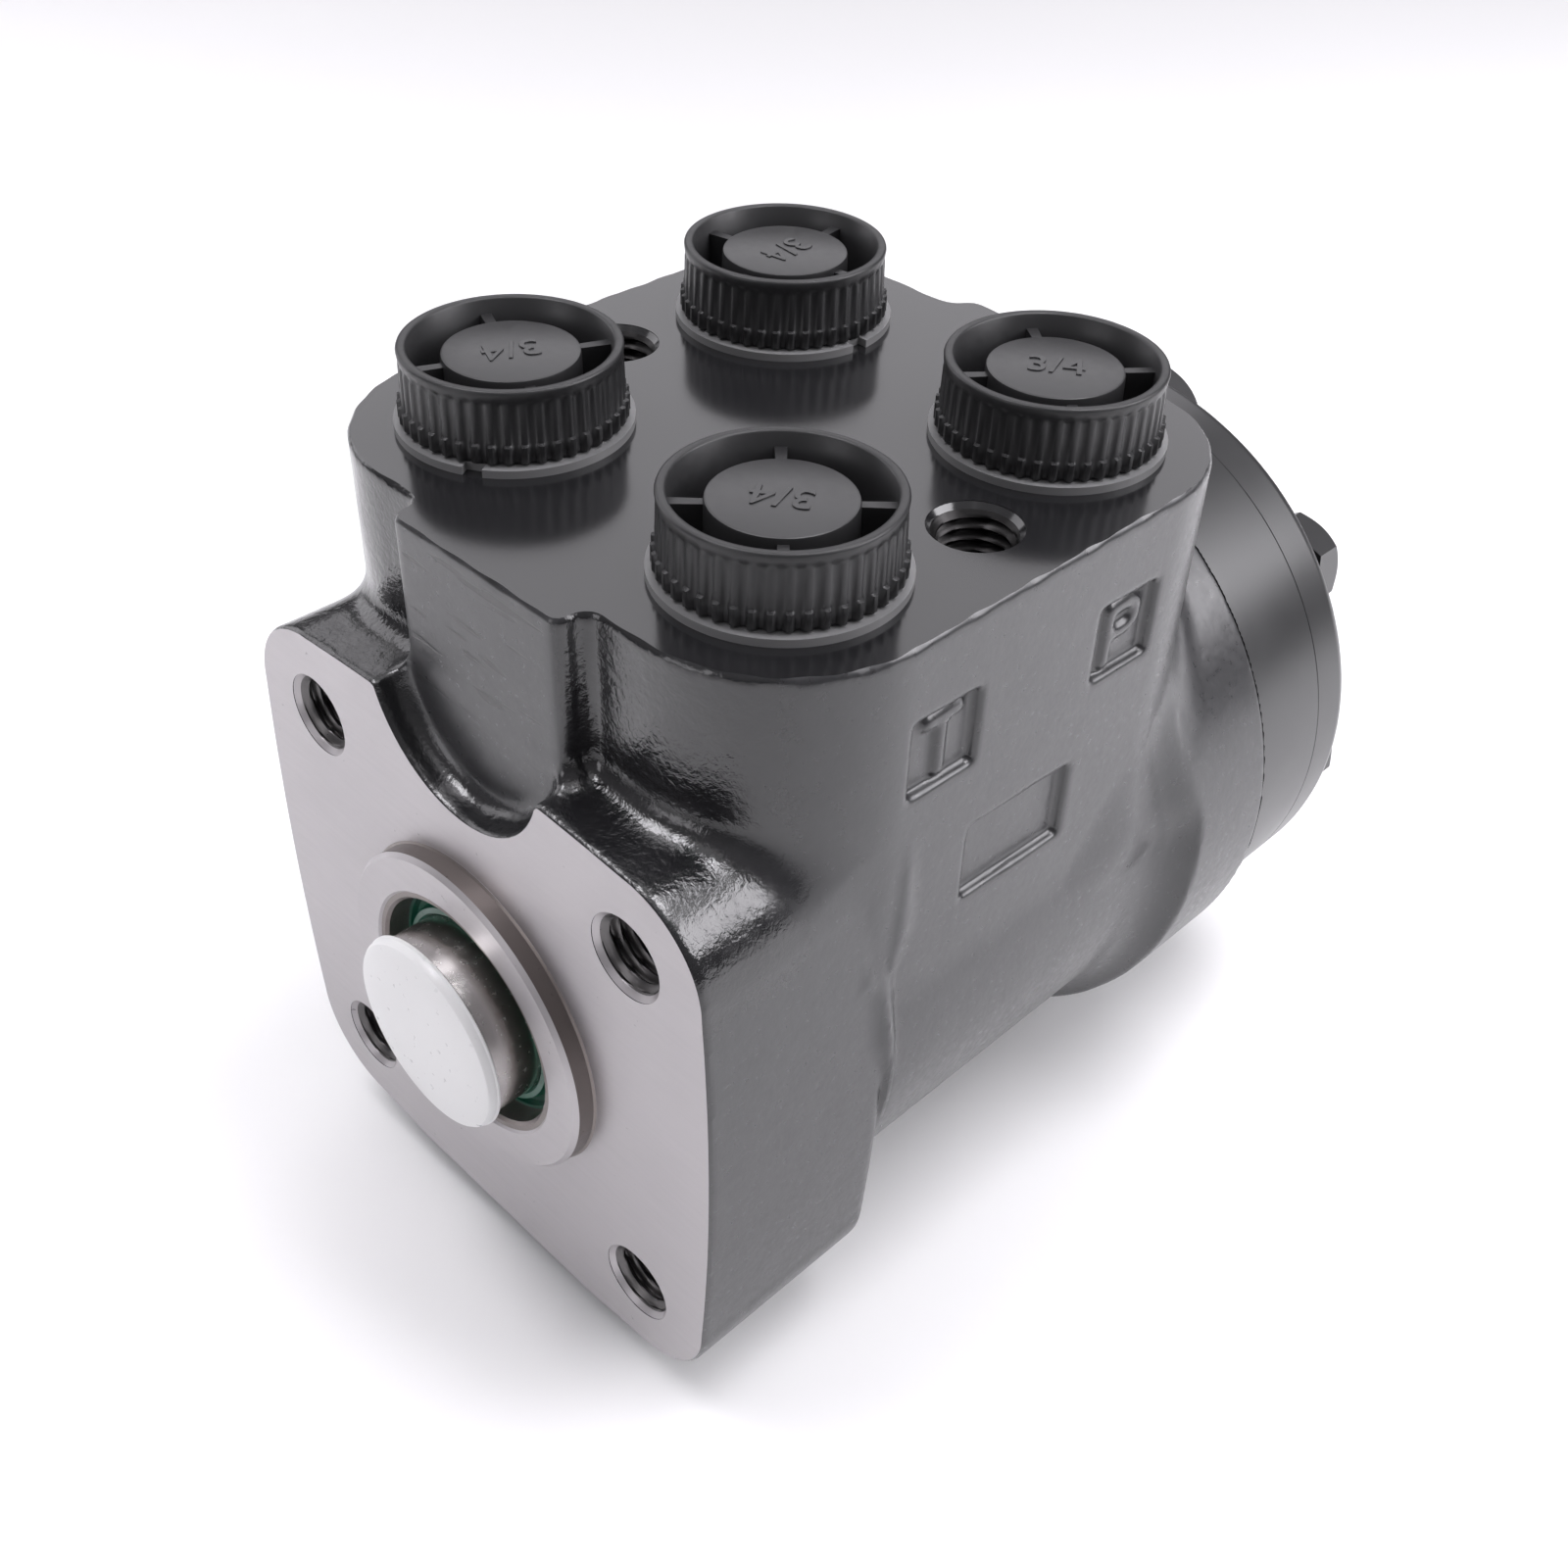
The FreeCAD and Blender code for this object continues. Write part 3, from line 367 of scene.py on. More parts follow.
def plastic(name, colour, rough, grain=0.02, shine=0.5):
    """Moulded plastic, rubber or fibre with a fine grain."""
    m = Nodes(name)
    noise = m.noise(800, 3, 0.5)
    m.set(
        Base_Color=m.mix(m.noise(70, 2, 0.5), tuple(c * 0.92 for c in colour), colour),
        Roughness=m.ramp(noise, 0.3, 0.7, rough * 0.9, rough * 1.1),
        Specular_IOR_Level=shine,
    )
    m.bump([(noise, grain, 0.4)])
    return m.mat


CAST = cast_paint()
PAINT = smooth_paint("smooth_paint", 0.14, 0.18)
SATIN = smooth_paint("satin_paint", 0.30, 0.36)
IRON = machined_iron("machined_iron", (0.45, 0.43, 0.44), 0.40)
TURNED = machined_iron("turned_wall", (0.20, 0.175, 0.165), 0.35)
THREAD = steel("thread_iron", (0.13, 0.125, 0.125), 0.34)
DARK_THREAD = steel("dark_thread", (0.035, 0.034, 0.034), 0.38)
NECK = steel("ground_steel", (0.72, 0.70, 0.68), 0.24)
HARD = steel("hard_steel", (0.56, 0.56, 0.57), 0.25)
SPRING = steel("spring_steel", (0.22, 0.22, 0.25), 0.35)
BRASS = steel("cage_brass", (0.75, 0.52, 0.22), 0.3)
PLUG = plastic("plug_plastic", (0.020, 0.020, 0.021), 0.40)
POST = plastic("plug_top", (0.022, 0.022, 0.023), 0.34, shine=0.7)
FIBRE = plastic("gasket_fibre", (0.21, 0.21, 0.212), 0.38)
CAP = plastic("cap_plastic", (0.74, 0.74, 0.74), 0.30, 0.002)
GREEN = plastic("green_rubber", (0.008, 0.11, 0.065), 0.3)
RUBBER = plastic("black_rubber", (0.012, 0.012, 0.012), 0.55)

SLOT_LOOKS = {
    "housing": CAST,
    "gear_stack": SATIN,
    "bolts": SATIN,
    "washers": PAINT,
    "valve_steel": NECK,
    "bearing_steel": HARD,
    "spring_steel": SPRING,
    "cage_brass": BRASS,
    "green_seal": GREEN,
    "black_rubber": RUBBER,
    "plug_plastic": PLUG,
    "gasket_grey": FIBRE,
    "cap_white": CAP,
}
for part in frame["record"]["subparts"]:
    node = frame["nodes"][part["node"]]
    node.data.materials.clear()
    node.data.materials.append(SLOT_LOOKS[part["material_slot"]])


def place(name, data, materials, body):
    """An object that rides on a body, with the materials it is given."""
    obj = bpy.data.objects.new(name, data)
    bpy.context.scene.collection.objects.link(obj)
    for material in materials:
        data.materials.append(material)
    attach(obj, body)
    return obj


def make(name, points, faces, materials, body, angle=None):
    """A mesh object from points in millimetres; edges sharper than the angle stay sharp."""
    mesh = bpy.data.meshes.new(name)
    mesh.from_pydata((np.asarray(points, float) * MM).tolist(), [], faces)
    bm = bmesh.new()
    bm.from_mesh(mesh)
    bmesh.ops.remove_doubles(bm, verts=bm.verts, dist=1e-6)
    bmesh.ops.recalc_face_normals(bm, faces=bm.faces)
    bm.to_mesh(mesh)
    bm.free()
    mesh.polygons.foreach_set("use_smooth", [angle is not None] * len(mesh.polygons))
    if angle:
        mesh.set_sharp_from_angle(angle=math.radians(angle))
    return place(name, mesh, materials, body)


def turned(name, profile, axis, centre, materials, body, count=160, closed=True, angle=32, wave=None):
    """A piece turned from (radius, along) points; wave gives extra radius from an angle and a row."""
    angles = np.arange(count) * 2 * math.pi / count
    points = []
    for row, (r, s) in enumerate(profile):
        radius = r + (wave(angles, row) if wave else 0) * np.ones(count)
        u, v = radius * np.cos(angles), radius * np.sin(angles)
        along = np.full(count, float(s))
        points.append(np.stack((u, along, v) if axis == "y" else (u, v, along), 1))
    points = np.concatenate(points) + np.array(centre, float)
    rows = len(profile)
    faces = []
    for i in range(rows if closed else rows - 1):
        a, b = i * count, (i + 1) % rows * count
        for k in range(count):
            n = (k + 1) % count
            faces.append((a + k, a + n, b + n, b + k))
    return make(name, points, faces, materials, body, angle)


def soften(a, b, r):
    """Both of two fields, with the edge between them rounded."""
    u = np.maximum(r + a, 0)
    v = np.maximum(r + b, 0)
    return np.minimum(-r, np.maximum(a, b)) + np.sqrt(u * u + v * v)


def carve(a, b, r):
    """One field without another, with the edge between them rounded."""
    return soften(a, -b, r)


def join(a, b, r):
    """Either of two fields, with a fillet between them."""
    u = np.maximum(r - a, 0)
    v = np.maximum(r - b, 0)
    return np.maximum(r, np.minimum(a, b)) - np.sqrt(u * u + v * v)


def ease(t):
    """A smooth step from 0 to 1."""
    t = np.clip(t, 0, 1)
    return t * t * (3 - 2 * t)


def between(value, low, high):
    """A smooth step from 0 at a low value to 1 at a high one."""
    return ease((value - low) / (high - low))


def melt(a, b, most, grid, least=THIN_FILLET):
    """Joins two cast shapes; the fillet narrows where their walls run together."""
    along = sum(p * q for p, q in zip(np.gradient(a, grid), np.gradient(b, grid)))
    width = np.maximum(np.minimum(20 * (1 - along), most), least)
    overlap = np.maximum(width - np.abs(a - b), 0)
    return np.minimum(a, b) - overlap * overlap / (4 * width)


def bevel(field, face, width):
    """Cuts the edge between a field and a plane at 45 degrees; face is the height above the plane."""
    return np.maximum(field, (field + face + width) * math.sqrt(0.5))


def slab(u, v, half_u, half_v, r=0.0):
    """Distance to a rectangle with round corners."""
    qu, qv = np.abs(u) - half_u + r, np.abs(v) - half_v + r
    outside = np.sqrt(np.maximum(qu, 0) ** 2 + np.maximum(qv, 0) ** 2)
    return outside + np.minimum(np.maximum(qu, qv), 0) - r


def stroke(u, v, a, b, half):
    """Distance to a round-ended stroke between two points."""
    dx, dy = b[0] - a[0], b[1] - a[1]
    t = np.clip(((u - a[0]) * dx + (v - a[1]) * dy) / (dx * dx + dy * dy), 0, 1)
    return np.sqrt((u - a[0] - t * dx) ** 2 + (v - a[1] - t * dy) ** 2) - half


def round_hole(u, v, r, depth):
    """A round hole; depth is how far a point lies past the hole's floor."""
    return np.maximum(np.sqrt(u * u + v * v) - r, depth)


def flange_field(X, Y, Z):
    """The square flange with bulged sides."""
    straight_x = FLANGE_HALF_X - FLANGE_CORNER_R
    straight_z = FLANGE_HALF_Z - FLANGE_CORNER_R
    side = np.clip(1 - (Z / straight_z) ** 2, 0, 1)
    foot = np.clip((straight_x - np.abs(X)) / (straight_x - FLANGE_FOOT_HALF), 0, 1)
    crown = np.clip(1 - (X / straight_x) ** 2, 0, 1)
    bulge_x = FLANGE_BULGE * side * np.clip(np.abs(X) / FLANGE_BULGE_REACH, 0, 1)
    bulge_z = FLANGE_BULGE * np.where(Z < 0, foot, crown) * np.clip(np.abs(Z) / FLANGE_BULGE_REACH, 0, 1)
    outline = slab(np.abs(X) - bulge_x, np.abs(Z) - bulge_z, FLANGE_HALF_X, FLANGE_HALF_Z, FLANGE_CORNER_R)
    return soften(outline + 0 * Y, Y - FLANGE_DEPTH + 0 * X, FLANGE_REAR_R)


def scoop_field(X, Y, Z):
    """The hollow in the flange's top edge, with the nose's front face as its floor."""
    round_wall = np.sqrt(X * X + np.minimum(Z - SCOOP_Z, 0) ** 2) - SCOOP_R
    return soften(round_wall + 0 * Y, Y - NOSE_Y + 0 * X, SCOOP_FLOOR_R)


def block_field(X, Y, Z):
    """The port block: four lobes, a nose in front and a tail behind."""
    middle = Y - MID_PORT_Y
    block = slab(X, middle, SIDE_X, REAR_PORT_Y - MID_PORT_Y + LOBE_R, LOBE_R)
    nose = slab(X, Y - NOSE_Y - ARM_HALF_LENGTH, NOSE_HALF_X, ARM_HALF_LENGTH, ARM_CORNER_R)
    tail = slab(X, Y - TAIL_Y + ARM_HALF_LENGTH, TAIL_HALF_X, ARM_HALF_LENGTH, ARM_CORNER_R)
    foot = BLOCK_FOOT_CURVE * np.maximum(BLOCK_FOOT_Z - Z, 0) ** 2
    return np.maximum(join(join(block, nose, 2.0), tail, 3.0) + foot, -Z)


def body_field(X, Y, Z):
    """The round body with its flared rear flange."""
    start = FLARE_Y + FLARE_LEAN * Z - FLARE_ADVANCE * between(Z, 6, 26)
    t = np.clip((Y - start) / FLARE_LENGTH, 0, 1)
    low = t ** 3
    radius = BODY_R + REAR_STEP * (low + (ease(t) - low) * between(Z, 4, 14))
    half = (BODY_END_Y - BODY_FRONT_Y) / 2
    return soften(np.sqrt(X * X + Z * Z) - radius, np.abs(Y - BODY_FRONT_Y - half) - half + 0 * X, EDGE_R)


def pads_and_letters(d, X, Y, Z):
    """Sinks the cast pads into the side walls and raises the port letters in them."""
    number_y, number_z, number_length, number_height = NUMBER_PAD
    pads = [(side, y, PAD_Z, PAD_LENGTH, PAD_HEIGHT) for _, side, y, _ in LETTERS]
    pads.append((1, number_y, number_z, number_length, number_height))
    for side, y, z, length, height in pads:
        depth = SIDE_X - side * X
        pad = slab(Y - y, Z - z + (Y - y) * PAD_SLANT, length / 2, height / 2, PAD_CORNER_R)
        d = carve(d, np.maximum(pad + PAD_DRAFT * depth, depth - PAD_DEPTH), 0.3)
    for _, side, y, strokes in LETTERS:
        u = (Y - y) * side + LETTER_WIDTH / 2
        v = Z - PAD_Z + LETTER_HEIGHT / 2
        shape = None
        for a, b in strokes:
            ends = [(p[0] * LETTER_WIDTH, p[1] * LETTER_HEIGHT) for p in (a, b)]
            one = stroke(u, v, ends[0], ends[1], LETTER_HALF_STROKE)
            shape = one if shape is None else np.minimum(shape, one)
        depth = SIDE_X - side * X
        raised = np.maximum(soften(shape + 0 * X, LETTER_DROP - depth + 0 * Y, 0.35), depth - PAD_DEPTH - 1)
        d = join(d, raised, 0.4)
    return d


def machined_spaces(d, X, Y, Z):
    """Cuts the stepped main bore, the column and deck holes and the ports."""
    for radius, start, end in BORE_STEPS:
        d = np.maximum(d, -round_hole(X, Z, radius, np.maximum(start - Y, Y - end)))
    bolt_r, port_r = BOLT_THREAD[3] - LINER_LAP, PORT_THREAD[3] - LINER_LAP
    column_floor = COLUMN_DEPTH + LINER_GAP
    deck_floor = DECK_Z - (DECK_HOLE_DEPTH + LINER_GAP)
    port_floor = DECK_Z - (PORT_DEPTH + LINER_GAP)
    for sx in (-1, 1):
        for sz in (-1, 1):
            hole = round_hole(X - sx * COLUMN_HALF, Z - sz * COLUMN_HALF, bolt_r, Y - column_floor)
            d = np.maximum(d, -hole)
        d = np.maximum(d, -round_hole(X - sx * DECK_HOLE_X, Y - MID_PORT_Y, bolt_r, deck_floor - Z))
        for y in (FRONT_PORT_Y, REAR_PORT_Y):
            d = np.maximum(d, -round_hole(X - sx * PORT_X, Y - y, port_r, port_floor - Z))
    return d


def housing_field(grid):
    """The housing's distance field on a regular grid, with the grid's corner."""
    lo = np.array(FIELD_LOW)
    count = np.ceil((np.array(FIELD_HIGH) - lo) / grid).astype(int) + 1
    axes = [np.float32(lo[i]) + np.arange(count[i], dtype=np.float32) * np.float32(grid) for i in range(3)]
    X, Y, Z = np.meshgrid(*axes, indexing="ij", sparse=True)
    rear = between(Y, 60, 76) * between(Z, -4, 12)
    least = THIN_FILLET + REAR_FILLET * rear
    d = melt(block_field(X, Y, Z), body_field(X, Y, Z), BODY_FILLET, grid, least)
    d = melt(d, flange_field(X, Y, Z), FLANGE_FILLET + SHOULDER_FILLET * between(Z, 14, 24), grid)
    d = carve(d, scoop_field(X, Y, Z), 0.6)
    d = bevel(d, -Y, 0.3)
    ragged = 0.42 + 0.10 * np.sin(X * 0.9 + Y * 0.7) + 0.08 * np.sin(X * 0.31 - Y * 1.3)
    d = bevel(d, Z - DECK_Z, ragged)
    d = pads_and_letters(d, X, Y, Z)
    return machined_spaces(d, X, Y, Z).astype(np.float32), lo


def sample(d, lo, grid, p):
    """Trilinear value of the field at points."""
    q = (p - lo) / grid
    i = np.clip(np.floor(q).astype(int), 0, np.array(d.shape) - 2)
    f = q - i
    out = np.zeros(len(p))
    for corner in np.ndindex(2, 2, 2):
        w = np.prod([f[:, k] if corner[k] else 1 - f[:, k] for k in range(3)], axis=0)
        out += w * d[i[:, 0] + corner[0], i[:, 1] + corner[1], i[:, 2] + corner[2]]
    return out


def settle(d, lo, grid, p, rounds=2):
    """Moves points onto the field's surface along its slope."""
    step = np.eye(3) * grid * 0.5
    for _ in range(rounds):
        value = sample(d, lo, grid, p)
        slope = [sample(d, lo, grid, p + s) - sample(d, lo, grid, p - s) for s in step]
        g = np.stack(slope, 1) / grid
        steep = np.maximum((g * g).sum(1), 0.2)
        p = p - g * (value / steep)[:, None] * 0.9
    return p


def surface(d, lo, grid):
    """Surface nets: one point in each crossed cell, one quad over each crossed edge."""
    inside = d < 0
    corners = list(np.ndindex(2, 2, 2))
    nx, ny, nz = d.shape
    total = np.zeros((nx - 1, ny - 1, nz - 1), np.uint8)
    for a, b, c in corners:
        total += inside[a:nx - 1 + a, b:ny - 1 + b, c:nz - 1 + c]
    cells = np.argwhere((total > 0) & (total < 8))
    values = [d[cells[:, 0] + a, cells[:, 1] + b, cells[:, 2] + c] for a, b, c in corners]
    place_sum = np.zeros((len(cells), 3))
    hits = np.zeros(len(cells))
    for i in range(8):
        for j in range(i + 1, 8):
            p, q = np.array(corners[i]), np.array(corners[j])
            if np.abs(p - q).sum() != 1:
                continue
            cross = (values[i] < 0) != (values[j] < 0)
            t = values[i] / np.where(cross, values[i] - values[j], 1)
            place_sum += np.where(cross[:, None], p + t[:, None] * (q - p), 0)
            hits += cross
    points = lo + (cells + place_sum / hits[:, None]) * grid
    index = np.full((nx - 1, ny - 1, nz - 1), -1, np.int64)
    index[cells[:, 0], cells[:, 1], cells[:, 2]] = np.arange(len(cells))
    quads = []
    for axis in range(3):
        u, v = (axis + 1) % 3, (axis + 2) % 3
        first, second = [slice(None)] * 3, [slice(None)] * 3
        first[axis], second[axis] = slice(0, -1), slice(1, None)
        at = np.argwhere(inside[tuple(first)] != inside[tuple(second)])
        keep = (at[:, u] > 0) & (at[:, v] > 0)
        keep &= (at[:, u] < d.shape[u] - 1) & (at[:, v] < d.shape[v] - 1)
        at = at[keep]
        du, dv = np.eye(3, dtype=int)[u], np.eye(3, dtype=int)[v]
        quad = np.stack([index[tuple(f.T)] for f in (at - du - dv, at - dv, at, at - du)], 1)
        flip = ~inside[tuple(at.T)]
        quad[flip] = quad[flip][:, ::-1]
        quads.append(quad)
    return points, np.concatenate(quads)


def cut_flat(bm, spot, normal, look):
    """Cuts the mesh by a plane and closes it with a flat face of one material."""
    geometry = bm.verts[:] + bm.edges[:] + bm.faces[:]
    cut = bmesh.ops.bisect_plane(
        bm, geom=geometry, dist=1e-7, plane_co=spot, plane_no=normal, clear_outer=True)
    rim = [e for e in cut["geom_cut"] if isinstance(e, bmesh.types.BMEdge) and e.is_boundary]
    filled = bmesh.ops.triangle_fill(bm, use_beauty=True, edges=rim, normal=normal)
    for face in filled["geom"]:
        if not isinstance(face, bmesh.types.BMFace):
            continue
        face.material_index = look
        face.smooth = False
        if face.normal.dot(Vector(normal)) < 0:
            face.normal_flip()
    for edge in rim:
        edge.smooth = False


def cast_body():
    """The housing's cast skin with its machined flange face, deck and bores."""
    grid = FINE_GRID
    d, lo = housing_field(grid)
    points, quads = surface(d, lo, grid)
    points = settle(d, lo, grid, points)
    centres = points[quads].mean(1)
    bored = np.hypot(centres[:, 0], centres[:, 2]) < BORE_STEPS[-1][0] + 0.2
    mesh = bpy.data.meshes.new("cast_body")
    mesh.from_pydata((points * MM).tolist(), [], quads.tolist())
    mesh.polygons.foreach_set("use_smooth", [True] * len(mesh.polygons))
    mesh.polygons.foreach_set("material_index", np.where(bored, 3, 0).astype(np.int32))
    bm = bmesh.new()
    bm.from_mesh(mesh)
    cut_flat(bm, (0, 0, 0), (0, -1, 0), 1)
    cut_flat(bm, (0, 0, DECK_Z * MM), (0, 0, 1), 2)
    bm.to_mesh(mesh)
    bm.free()
    skin = place("cast_body", mesh, (CAST, IRON, PAINT, TURNED), "housing")
    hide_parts("housing")


def thread_hole(name, centre, axis, thread, depth):
    """The wall of a threaded hole: mouth cone, helical thread and drilled floor."""
    core, outer, pitch, mouth = thread
    count = THREAD_SIDES
    rows = int(depth / pitch * ROWS_PER_TURN)
    k = np.arange(count)
    angle = 2 * math.pi * k / count
    points = []
    for i in range(rows + 1):
        s = depth * i / rows
        tooth = np.abs((s / pitch - k / count) % 1.0 * 2 - 1)
        tooth = np.clip((tooth - THREAD_FLAT) / (1 - 2 * THREAD_FLAT), 0, 1)
        r = np.maximum(core + (outer - core) * tooth, mouth - s * MOUTH_SLOPE)
        u, v = r * np.cos(angle), r * np.sin(angle)
        along = np.full(count, s if axis == "y" else -s)
        points.append(np.stack((u, along, v) if axis == "y" else (u, v, along), 1))
    tip = depth + DRILL_TIP
    points.append(np.array([(0, tip, 0) if axis == "y" else (0, 0, -tip)], float))
    points = np.concatenate(points) + np.array(centre, float)
    faces = []
    for i in range(rows):
        for j in range(count):
            a, b = i * count + j, i * count + (j + 1) % count
            faces.append((a, a + count, b + count, b))
    last = len(points) - 1
    for j in range(count):
        faces.append((rows * count + j, last, rows * count + (j + 1) % count))
    looks = [THREAD, IRON] if axis == "y" else [DARK_THREAD, PAINT]
    hole = make(name, points, faces, looks, "housing", 40)
    hole.data.flip_normals()
    for face in hole.data.polygons:
        middle = np.array(face.center) / MM - np.array(centre, float)
        s = middle[1] if axis == "y" else -middle[2]
        if s < (mouth - core) / MOUTH_SLOPE * 0.45:
            face.material_index = 1


def threads():
    """Liners for all threaded holes of the housing."""
    for sx in (-1, 1):
        side = "lr"[sx > 0]
        for sz in (-1, 1):
            name = "column_thread_%s%s" % (side, "bt"[sz > 0])
            centre = (sx * COLUMN_HALF, LINER_LIFT, sz * COLUMN_HALF)
            thread_hole(name, centre, "y", BOLT_THREAD, COLUMN_DEPTH)
        centre = (sx * DECK_HOLE_X, MID_PORT_Y, DECK_Z - LINER_LIFT)
        thread_hole("deck_thread_" + side, centre, "z", BOLT_THREAD, DECK_HOLE_DEPTH)
    for name, (x, y) in PORTS.items():
        thread_hole("port_thread_" + name, (x, y, DECK_Z - LINER_LIFT), "z", PORT_THREAD, PORT_DEPTH)


def pilot_ring():
    """The raised turned ring round the shaft mouth, with its darker outer wall."""
    profile = [
        (SPIGOT_R + 0.35, 0.3), (SPIGOT_R + 0.3, -0.02), (SPIGOT_R, -0.25), (SPIGOT_R, SPIGOT_Y + 0.6),
        (SPIGOT_R - 0.55, SPIGOT_Y), (MOUTH_R + 1.4, SPIGOT_Y), (MOUTH_R + 1.1, SPIGOT_Y + 0.3),
        (MOUTH_R + 0.4, SPIGOT_Y + 0.3), (MOUTH_R, SPIGOT_Y + 0.7), (MOUTH_R, 2.3), (MOUTH_R + 1.5, 2.3),
        (MOUTH_R + 1.5, 0.3),
    ]
    ring = turned("pilot_ring", profile, "y", (0, 0, 0), [IRON, TURNED], "housing", 200)
    for face in ring.data.polygons:
        r = math.hypot(face.center.x, face.center.z) / MM
        wall = r > SPIGOT_R - 0.12 and SPIGOT_Y + 0.5 < face.center.y / MM < -0.1
        mouth = r < MOUTH_R + 1.2
        face.material_index = 1 if wall or mouth else 0


def end_cover():
    """The cover with a rounded rear edge and a fine seam in front."""
    r, y0, y1 = STACK_R, COVER_FRONT_Y, COVER_REAR_Y
    profile = [
        (0, y0 + 0.02), (r - 0.18, y0 + 0.02), (r, y0 + 0.22), (r, y1 - 2.7), (r, y1 - 2.5),
        (r - 0.2, y1 - 1.6), (r - 0.75, y1 - 0.85), (r - 1.6, y1 - 0.3), (r - 2.6, y1), (0, y1),
    ]
    cover = turned("cover_skin", profile, "y", (0, 0, 0), [SATIN], "housing", 200, False, 40)
    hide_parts("end_cover")


# Each port plug's turn of its spokes and of its size mark, in degrees from +X towards +Y
PLUG_TURNS = {"left": (67, -113), "right": (10, -82), "tank": (46, -145), "pump": (52, 36)}
PLUG_RIBS = 44
RIB_HEIGHT = 0.27
POST_DROP = 1.15
MARK_SIZE = 5.6


def plug(name):
    """A moulded port plug: ribbed cup, centre post on four spokes with a size mark, and shank."""
    x, y = PORTS[name]
    body = name + "_plug"
    spoke_turn, mark_turn = PLUG_TURNS[name]
    height = PLUG_TOP_Z - PLUG_FLOOR_Z
    rows = [
        (12.7, 0.0, 0.0), (13.2, 0.2, 0.9), (13.35, 0.5, 1.3), (13.35, 2.45, 1.3), (13.08, 2.6, 0.6),
        (12.98, height - 1.9, 0.5), (12.98, height - 1.5, 0.2), (13.1, height - 1.25, 0.0),
        (13.2, height - 0.35, 0.0), (13.1, height - 0.1, 0.0), (12.9, height, 0.0), (12.25, height, 0.0),
        (12.0, height - 0.2, 0.0), (11.7, 1.7, 0.0), (0, 1.7, 0.0),
    ]

    def ribs(angles, row):
        return RIB_HEIGHT * rows[row][2] * np.clip(np.cos(angles * PLUG_RIBS) * 1.6, -1, 1)

    profile = [(r, h) for r, h, _ in rows]
    cup = turned("plug_cup_" + name, profile, "z", (x, y, PLUG_FLOOR_Z), [PLUG], body,
                 PLUG_RIBS * 8, False, 50, ribs)
    post_top = height - POST_DROP
    turned("plug_post_" + name, [
        (0, post_top), (7.85, post_top), (8.1, post_top - 0.12), (8.2, post_top - 0.4), (8.3, 1.6)],
        "z", (x, y, PLUG_FLOOR_Z), [POST], body, 96, False)
    for quarter in range(4):
        turn = Matrix.Rotation(math.radians(spoke_turn + 90 * quarter), 3, "Z")
        points = []
        for inner, outer, z in ((8.0, 12.0, 1.6), (8.0, 12.0, post_top - 0.75)):
            for u, v in ((inner, -0.6), (outer, -0.7), (outer, 0.7), (inner, 0.6)):
                points.append(turn @ Vector((u, v, z)) + Vector((x, y, PLUG_FLOOR_Z)))
        sides = [(0, 1, 5, 4), (1, 2, 6, 5), (2, 3, 7, 6), (3, 0, 4, 7), (4, 5, 6, 7)]
        make("plug_spoke_%s_%d" % (name, quarter), points, sides, [PLUG], body)
    mark = bpy.data.curves.new("size_mark_" + name, "FONT")
    mark.body = "3/4"
    mark.size = MARK_SIZE * MM
    mark.extrude = 0.10 * MM
    mark.bevel_depth = 0.05 * MM
    mark.align_x, mark.align_y = "CENTER", "CENTER"
    text = place("size_mark_" + name, mark, [POST], body)
    spot = Matrix.Translation((x * MM, y * MM, (PLUG_FLOOR_Z + post_top + 0.02) * MM))
    text.matrix_world = spot @ Matrix.Rotation(math.radians(mark_turn), 4, "Z")
    foot = PLUG_FOOT_Z - PLUG_FLOOR_Z
    turned("plug_shank_" + name, [
        (0, 0.2), (8.55, 0.2), (8.55, foot + 0.6), (8.1, foot), (6.4, foot), (6.4, -2), (0, -2)], "z",
        (x, y, PLUG_FLOOR_Z), [PLUG], body, 96, False)
    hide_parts("plug_" + name)


# How far the cap's seat stands in front of the spool's end
CAP_SEAT = -0.85


def shaft_end():
    """The white push-in cap, slightly domed, with its hollow shank, and the spool's rim under it."""
    seat = CAP_SEAT
    profile = [
        (0, seat - 1.85), (8, seat - 1.8), (12.2, seat - 1.6), (12.9, seat - 1.35), (13.2, seat - 0.95),
        (13.3, seat - 0.35), (13.45, seat - 0.2), (13.45, seat), (7.3, seat), (7.3, 9.0), (6.0, 9.0),
        (6.0, seat + 0.2), (0, seat + 0.2),
    ]
    centre = (0, SPOOL_FRONT_Y, 0)
    cap = turned("shaft_cap_skin", profile, "y", centre, [CAP], "cap", 160, False)
    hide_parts("shaft_cap")
    rim = [(NECK_R, 0.8), (NECK_R, seat + 0.4), (NECK_R - 0.4, seat), (9.6, seat), (9.6, 0.0),
           (NECK_R - 0.8, 0.0), (NECK_R - 0.8, 0.8)]
    turned("spool_rim", rim, "y", centre, [NECK], "spool", 160)


def wiper():
    """The green wiper ring: a lip on the neck, and a dark groove round it."""
    lip_r = NECK_R + 0.03
    profile = [
        (MOUTH_R - 0.02, 0.7), (MOUTH_R - 0.02, 2.35), (lip_r, 2.35), (lip_r, -0.3),
        (lip_r + 0.3, -0.6), (lip_r + 1.0, -0.5), (lip_r + 1.3, 0.1), (lip_r + 1.5, 1.5),
        (MOUTH_R - 0.7, 1.6), (MOUTH_R - 0.5, 0.7),
    ]
    ring = turned("wiper_skin", profile, "y", (0, 0, 0), [GREEN], "housing", 160)
    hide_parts("dust_seal")


cast_body()
threads()
pilot_ring()
end_cover()
for port in PORTS:
    plug(port)
shaft_end()
wiper()


FLOOR_Z = -48.0
FLOOR_REACH = 3.0


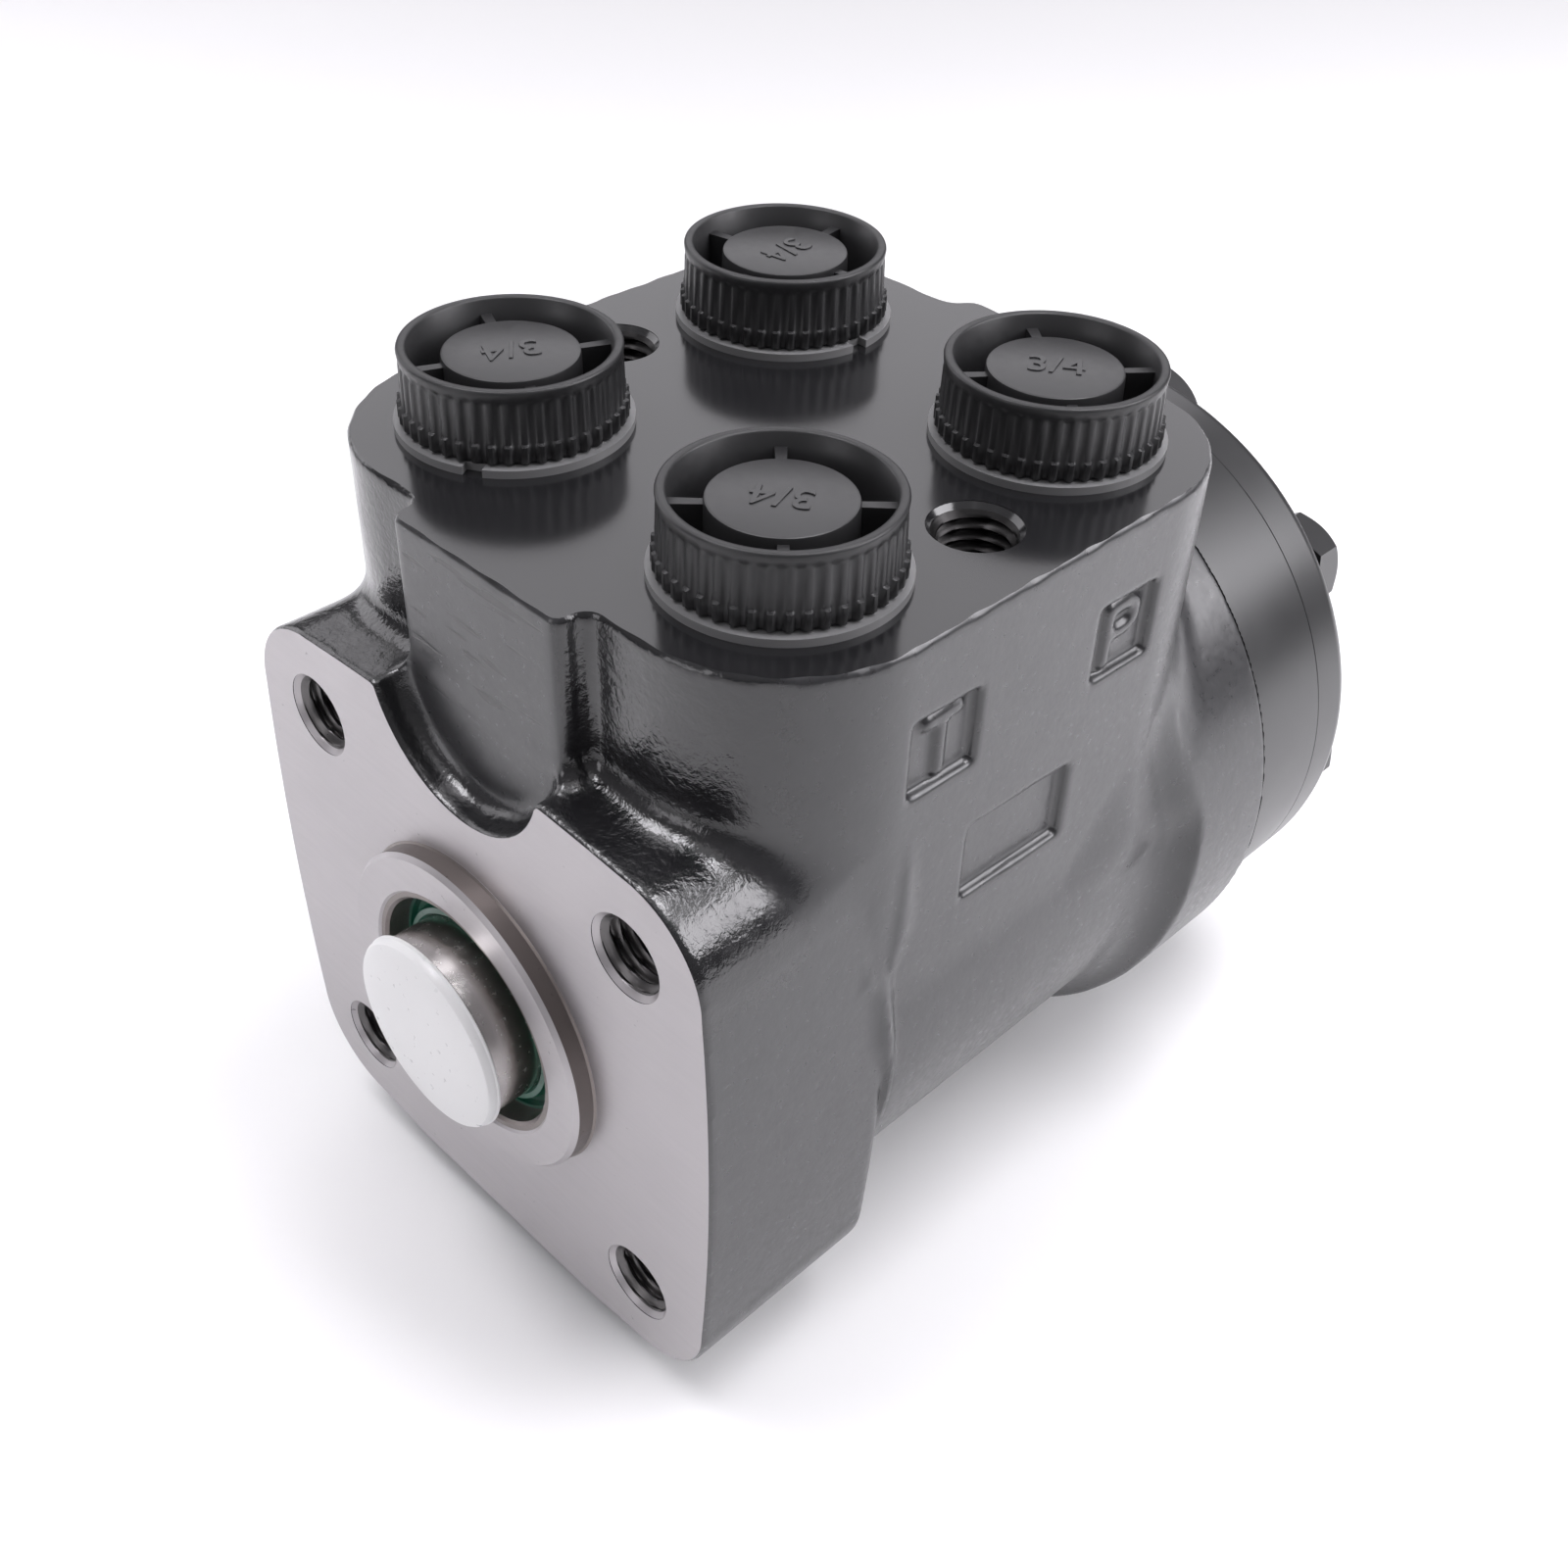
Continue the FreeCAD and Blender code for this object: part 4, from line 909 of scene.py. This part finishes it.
def floor():
    """The pale floor just below the unit."""
    reach, z = FLOOR_REACH, FLOOR_Z * MM
    mesh = bpy.data.meshes.new("floor")
    mesh.from_pydata([(-reach, -reach, z), (reach, -reach, z), (reach, reach, z), (-reach, reach, z)],
                     [], [(0, 1, 2, 3)])
    obj = bpy.data.objects.new("floor", mesh)
    bpy.context.scene.collection.objects.link(obj)
    m = Nodes("floor_white")
    m.set(Base_Color=m.mix(m.noise(6, 2, 0.5), (0.86, 0.86, 0.86), (0.88, 0.88, 0.88)),
          Roughness=0.7, Specular_IOR_Level=0.2)
    mesh.materials.append(m.mat)


COOL_WHITE = (0.975, 0.958, 1.0)


def light(name, spot, aim, width, height, radiance, spread=180):
    """A soft box of a given radiance, facing a point; spread is its beam in degrees."""
    data = bpy.data.lights.new(name, "AREA")
    data.shape = "RECTANGLE"
    data.size = width
    data.size_y = height
    data.energy = radiance * math.pi * width * height
    data.spread = math.radians(spread)
    data.color = COOL_WHITE
    obj = bpy.data.objects.new(name, data)
    bpy.context.scene.collection.objects.link(obj)
    obj.location = spot
    obj.rotation_euler = (Vector(aim) - Vector(spot)).to_track_quat("-Z", "Y").to_euler()


def studio():
    """A white room, darker towards the horizon."""
    world = bpy.data.worlds.new("studio")
    bpy.context.scene.world = world
    world.use_nodes = True
    tree = world.node_tree
    coord = tree.nodes.new("ShaderNodeTexCoord")
    split = tree.nodes.new("ShaderNodeSeparateXYZ")
    height = tree.nodes.new("ShaderNodeMapRange")
    for key, number in (("From Min", 0.0), ("From Max", 0.8), ("To Min", 0.16), ("To Max", 0.34)):
        height.inputs[key].default_value = number
    tree.links.new(coord.outputs["Generated"], split.inputs["Vector"])
    tree.links.new(split.outputs["Z"], height.inputs["Value"])
    tree.links.new(height.outputs["Result"], tree.nodes["Background"].inputs["Strength"])
    tree.nodes["Background"].inputs["Color"].default_value = (*COOL_WHITE, 1)


# The photo's viewpoint, worked out from its edges, in degrees, metres and pixels
VIEW_AZIMUTH = 43.83
VIEW_ELEVATION = 39.32
VIEW_ROLL = 2.28
VIEW_SPOT = (0.1332, -0.0849, 0.1633)
FOCAL_PIXELS = 1795.07
PHOTO_PIXELS = 1600
SENSOR_WIDTH = 36


def camera():
    """The camera at the photo's viewpoint."""
    az, el, roll = (math.radians(angle) for angle in (VIEW_AZIMUTH, VIEW_ELEVATION, VIEW_ROLL))
    back = Vector((math.sin(az) * math.cos(el), -math.cos(az) * math.cos(el), math.sin(el)))
    level = (-back).cross(Vector((0, 0, 1))).normalized()
    upright = level.cross(-back)
    right = level * math.cos(roll) + upright * math.sin(roll)
    up = upright * math.cos(roll) - level * math.sin(roll)
    data = bpy.data.cameras.new("camera")
    data.sensor_width = SENSOR_WIDTH
    data.lens = FOCAL_PIXELS / PHOTO_PIXELS * SENSOR_WIDTH
    data.clip_start = 0.005
    obj = bpy.data.objects.new("camera", data)
    bpy.context.scene.collection.objects.link(obj)
    rotation = Matrix((right, up, back)).transposed().to_4x4()
    obj.matrix_world = Matrix.Translation(VIEW_SPOT) @ rotation
    bpy.context.scene.camera = obj


floor()
light("top", (0.0, 0.1, 1.3), (0, 0.05, 0), 1.4, 1.4, 0.6)
light("rear_left", (-0.72, 0.84, 0.86), (0, 0.05, 0.06), 1.3, 1.0, 1.15)
light("rear_right", (0.80, 0.72, 0.70), (0, 0.05, 0.03), 0.8, 0.65, 6.2)
light("floor_right", (0.24, 0.32, 0.75), (0.24, 0.321, -0.05), 0.4, 0.4, 2.7, 70)
light("floor_left", (-0.30, -0.22, 0.75), (-0.30, -0.219, -0.05), 0.4, 0.4, 2.6, 76)
light("left", (-0.95, -0.15, 0.45), (0, 0.05, 0.02), 0.6, 0.8, 1.6)
light("front", (-0.1, -1.0, 0.35), (0, 0, 0), 0.5, 0.5, 1.8)
studio()
camera()
bpy.context.scene.view_settings.view_transform = "Standard"
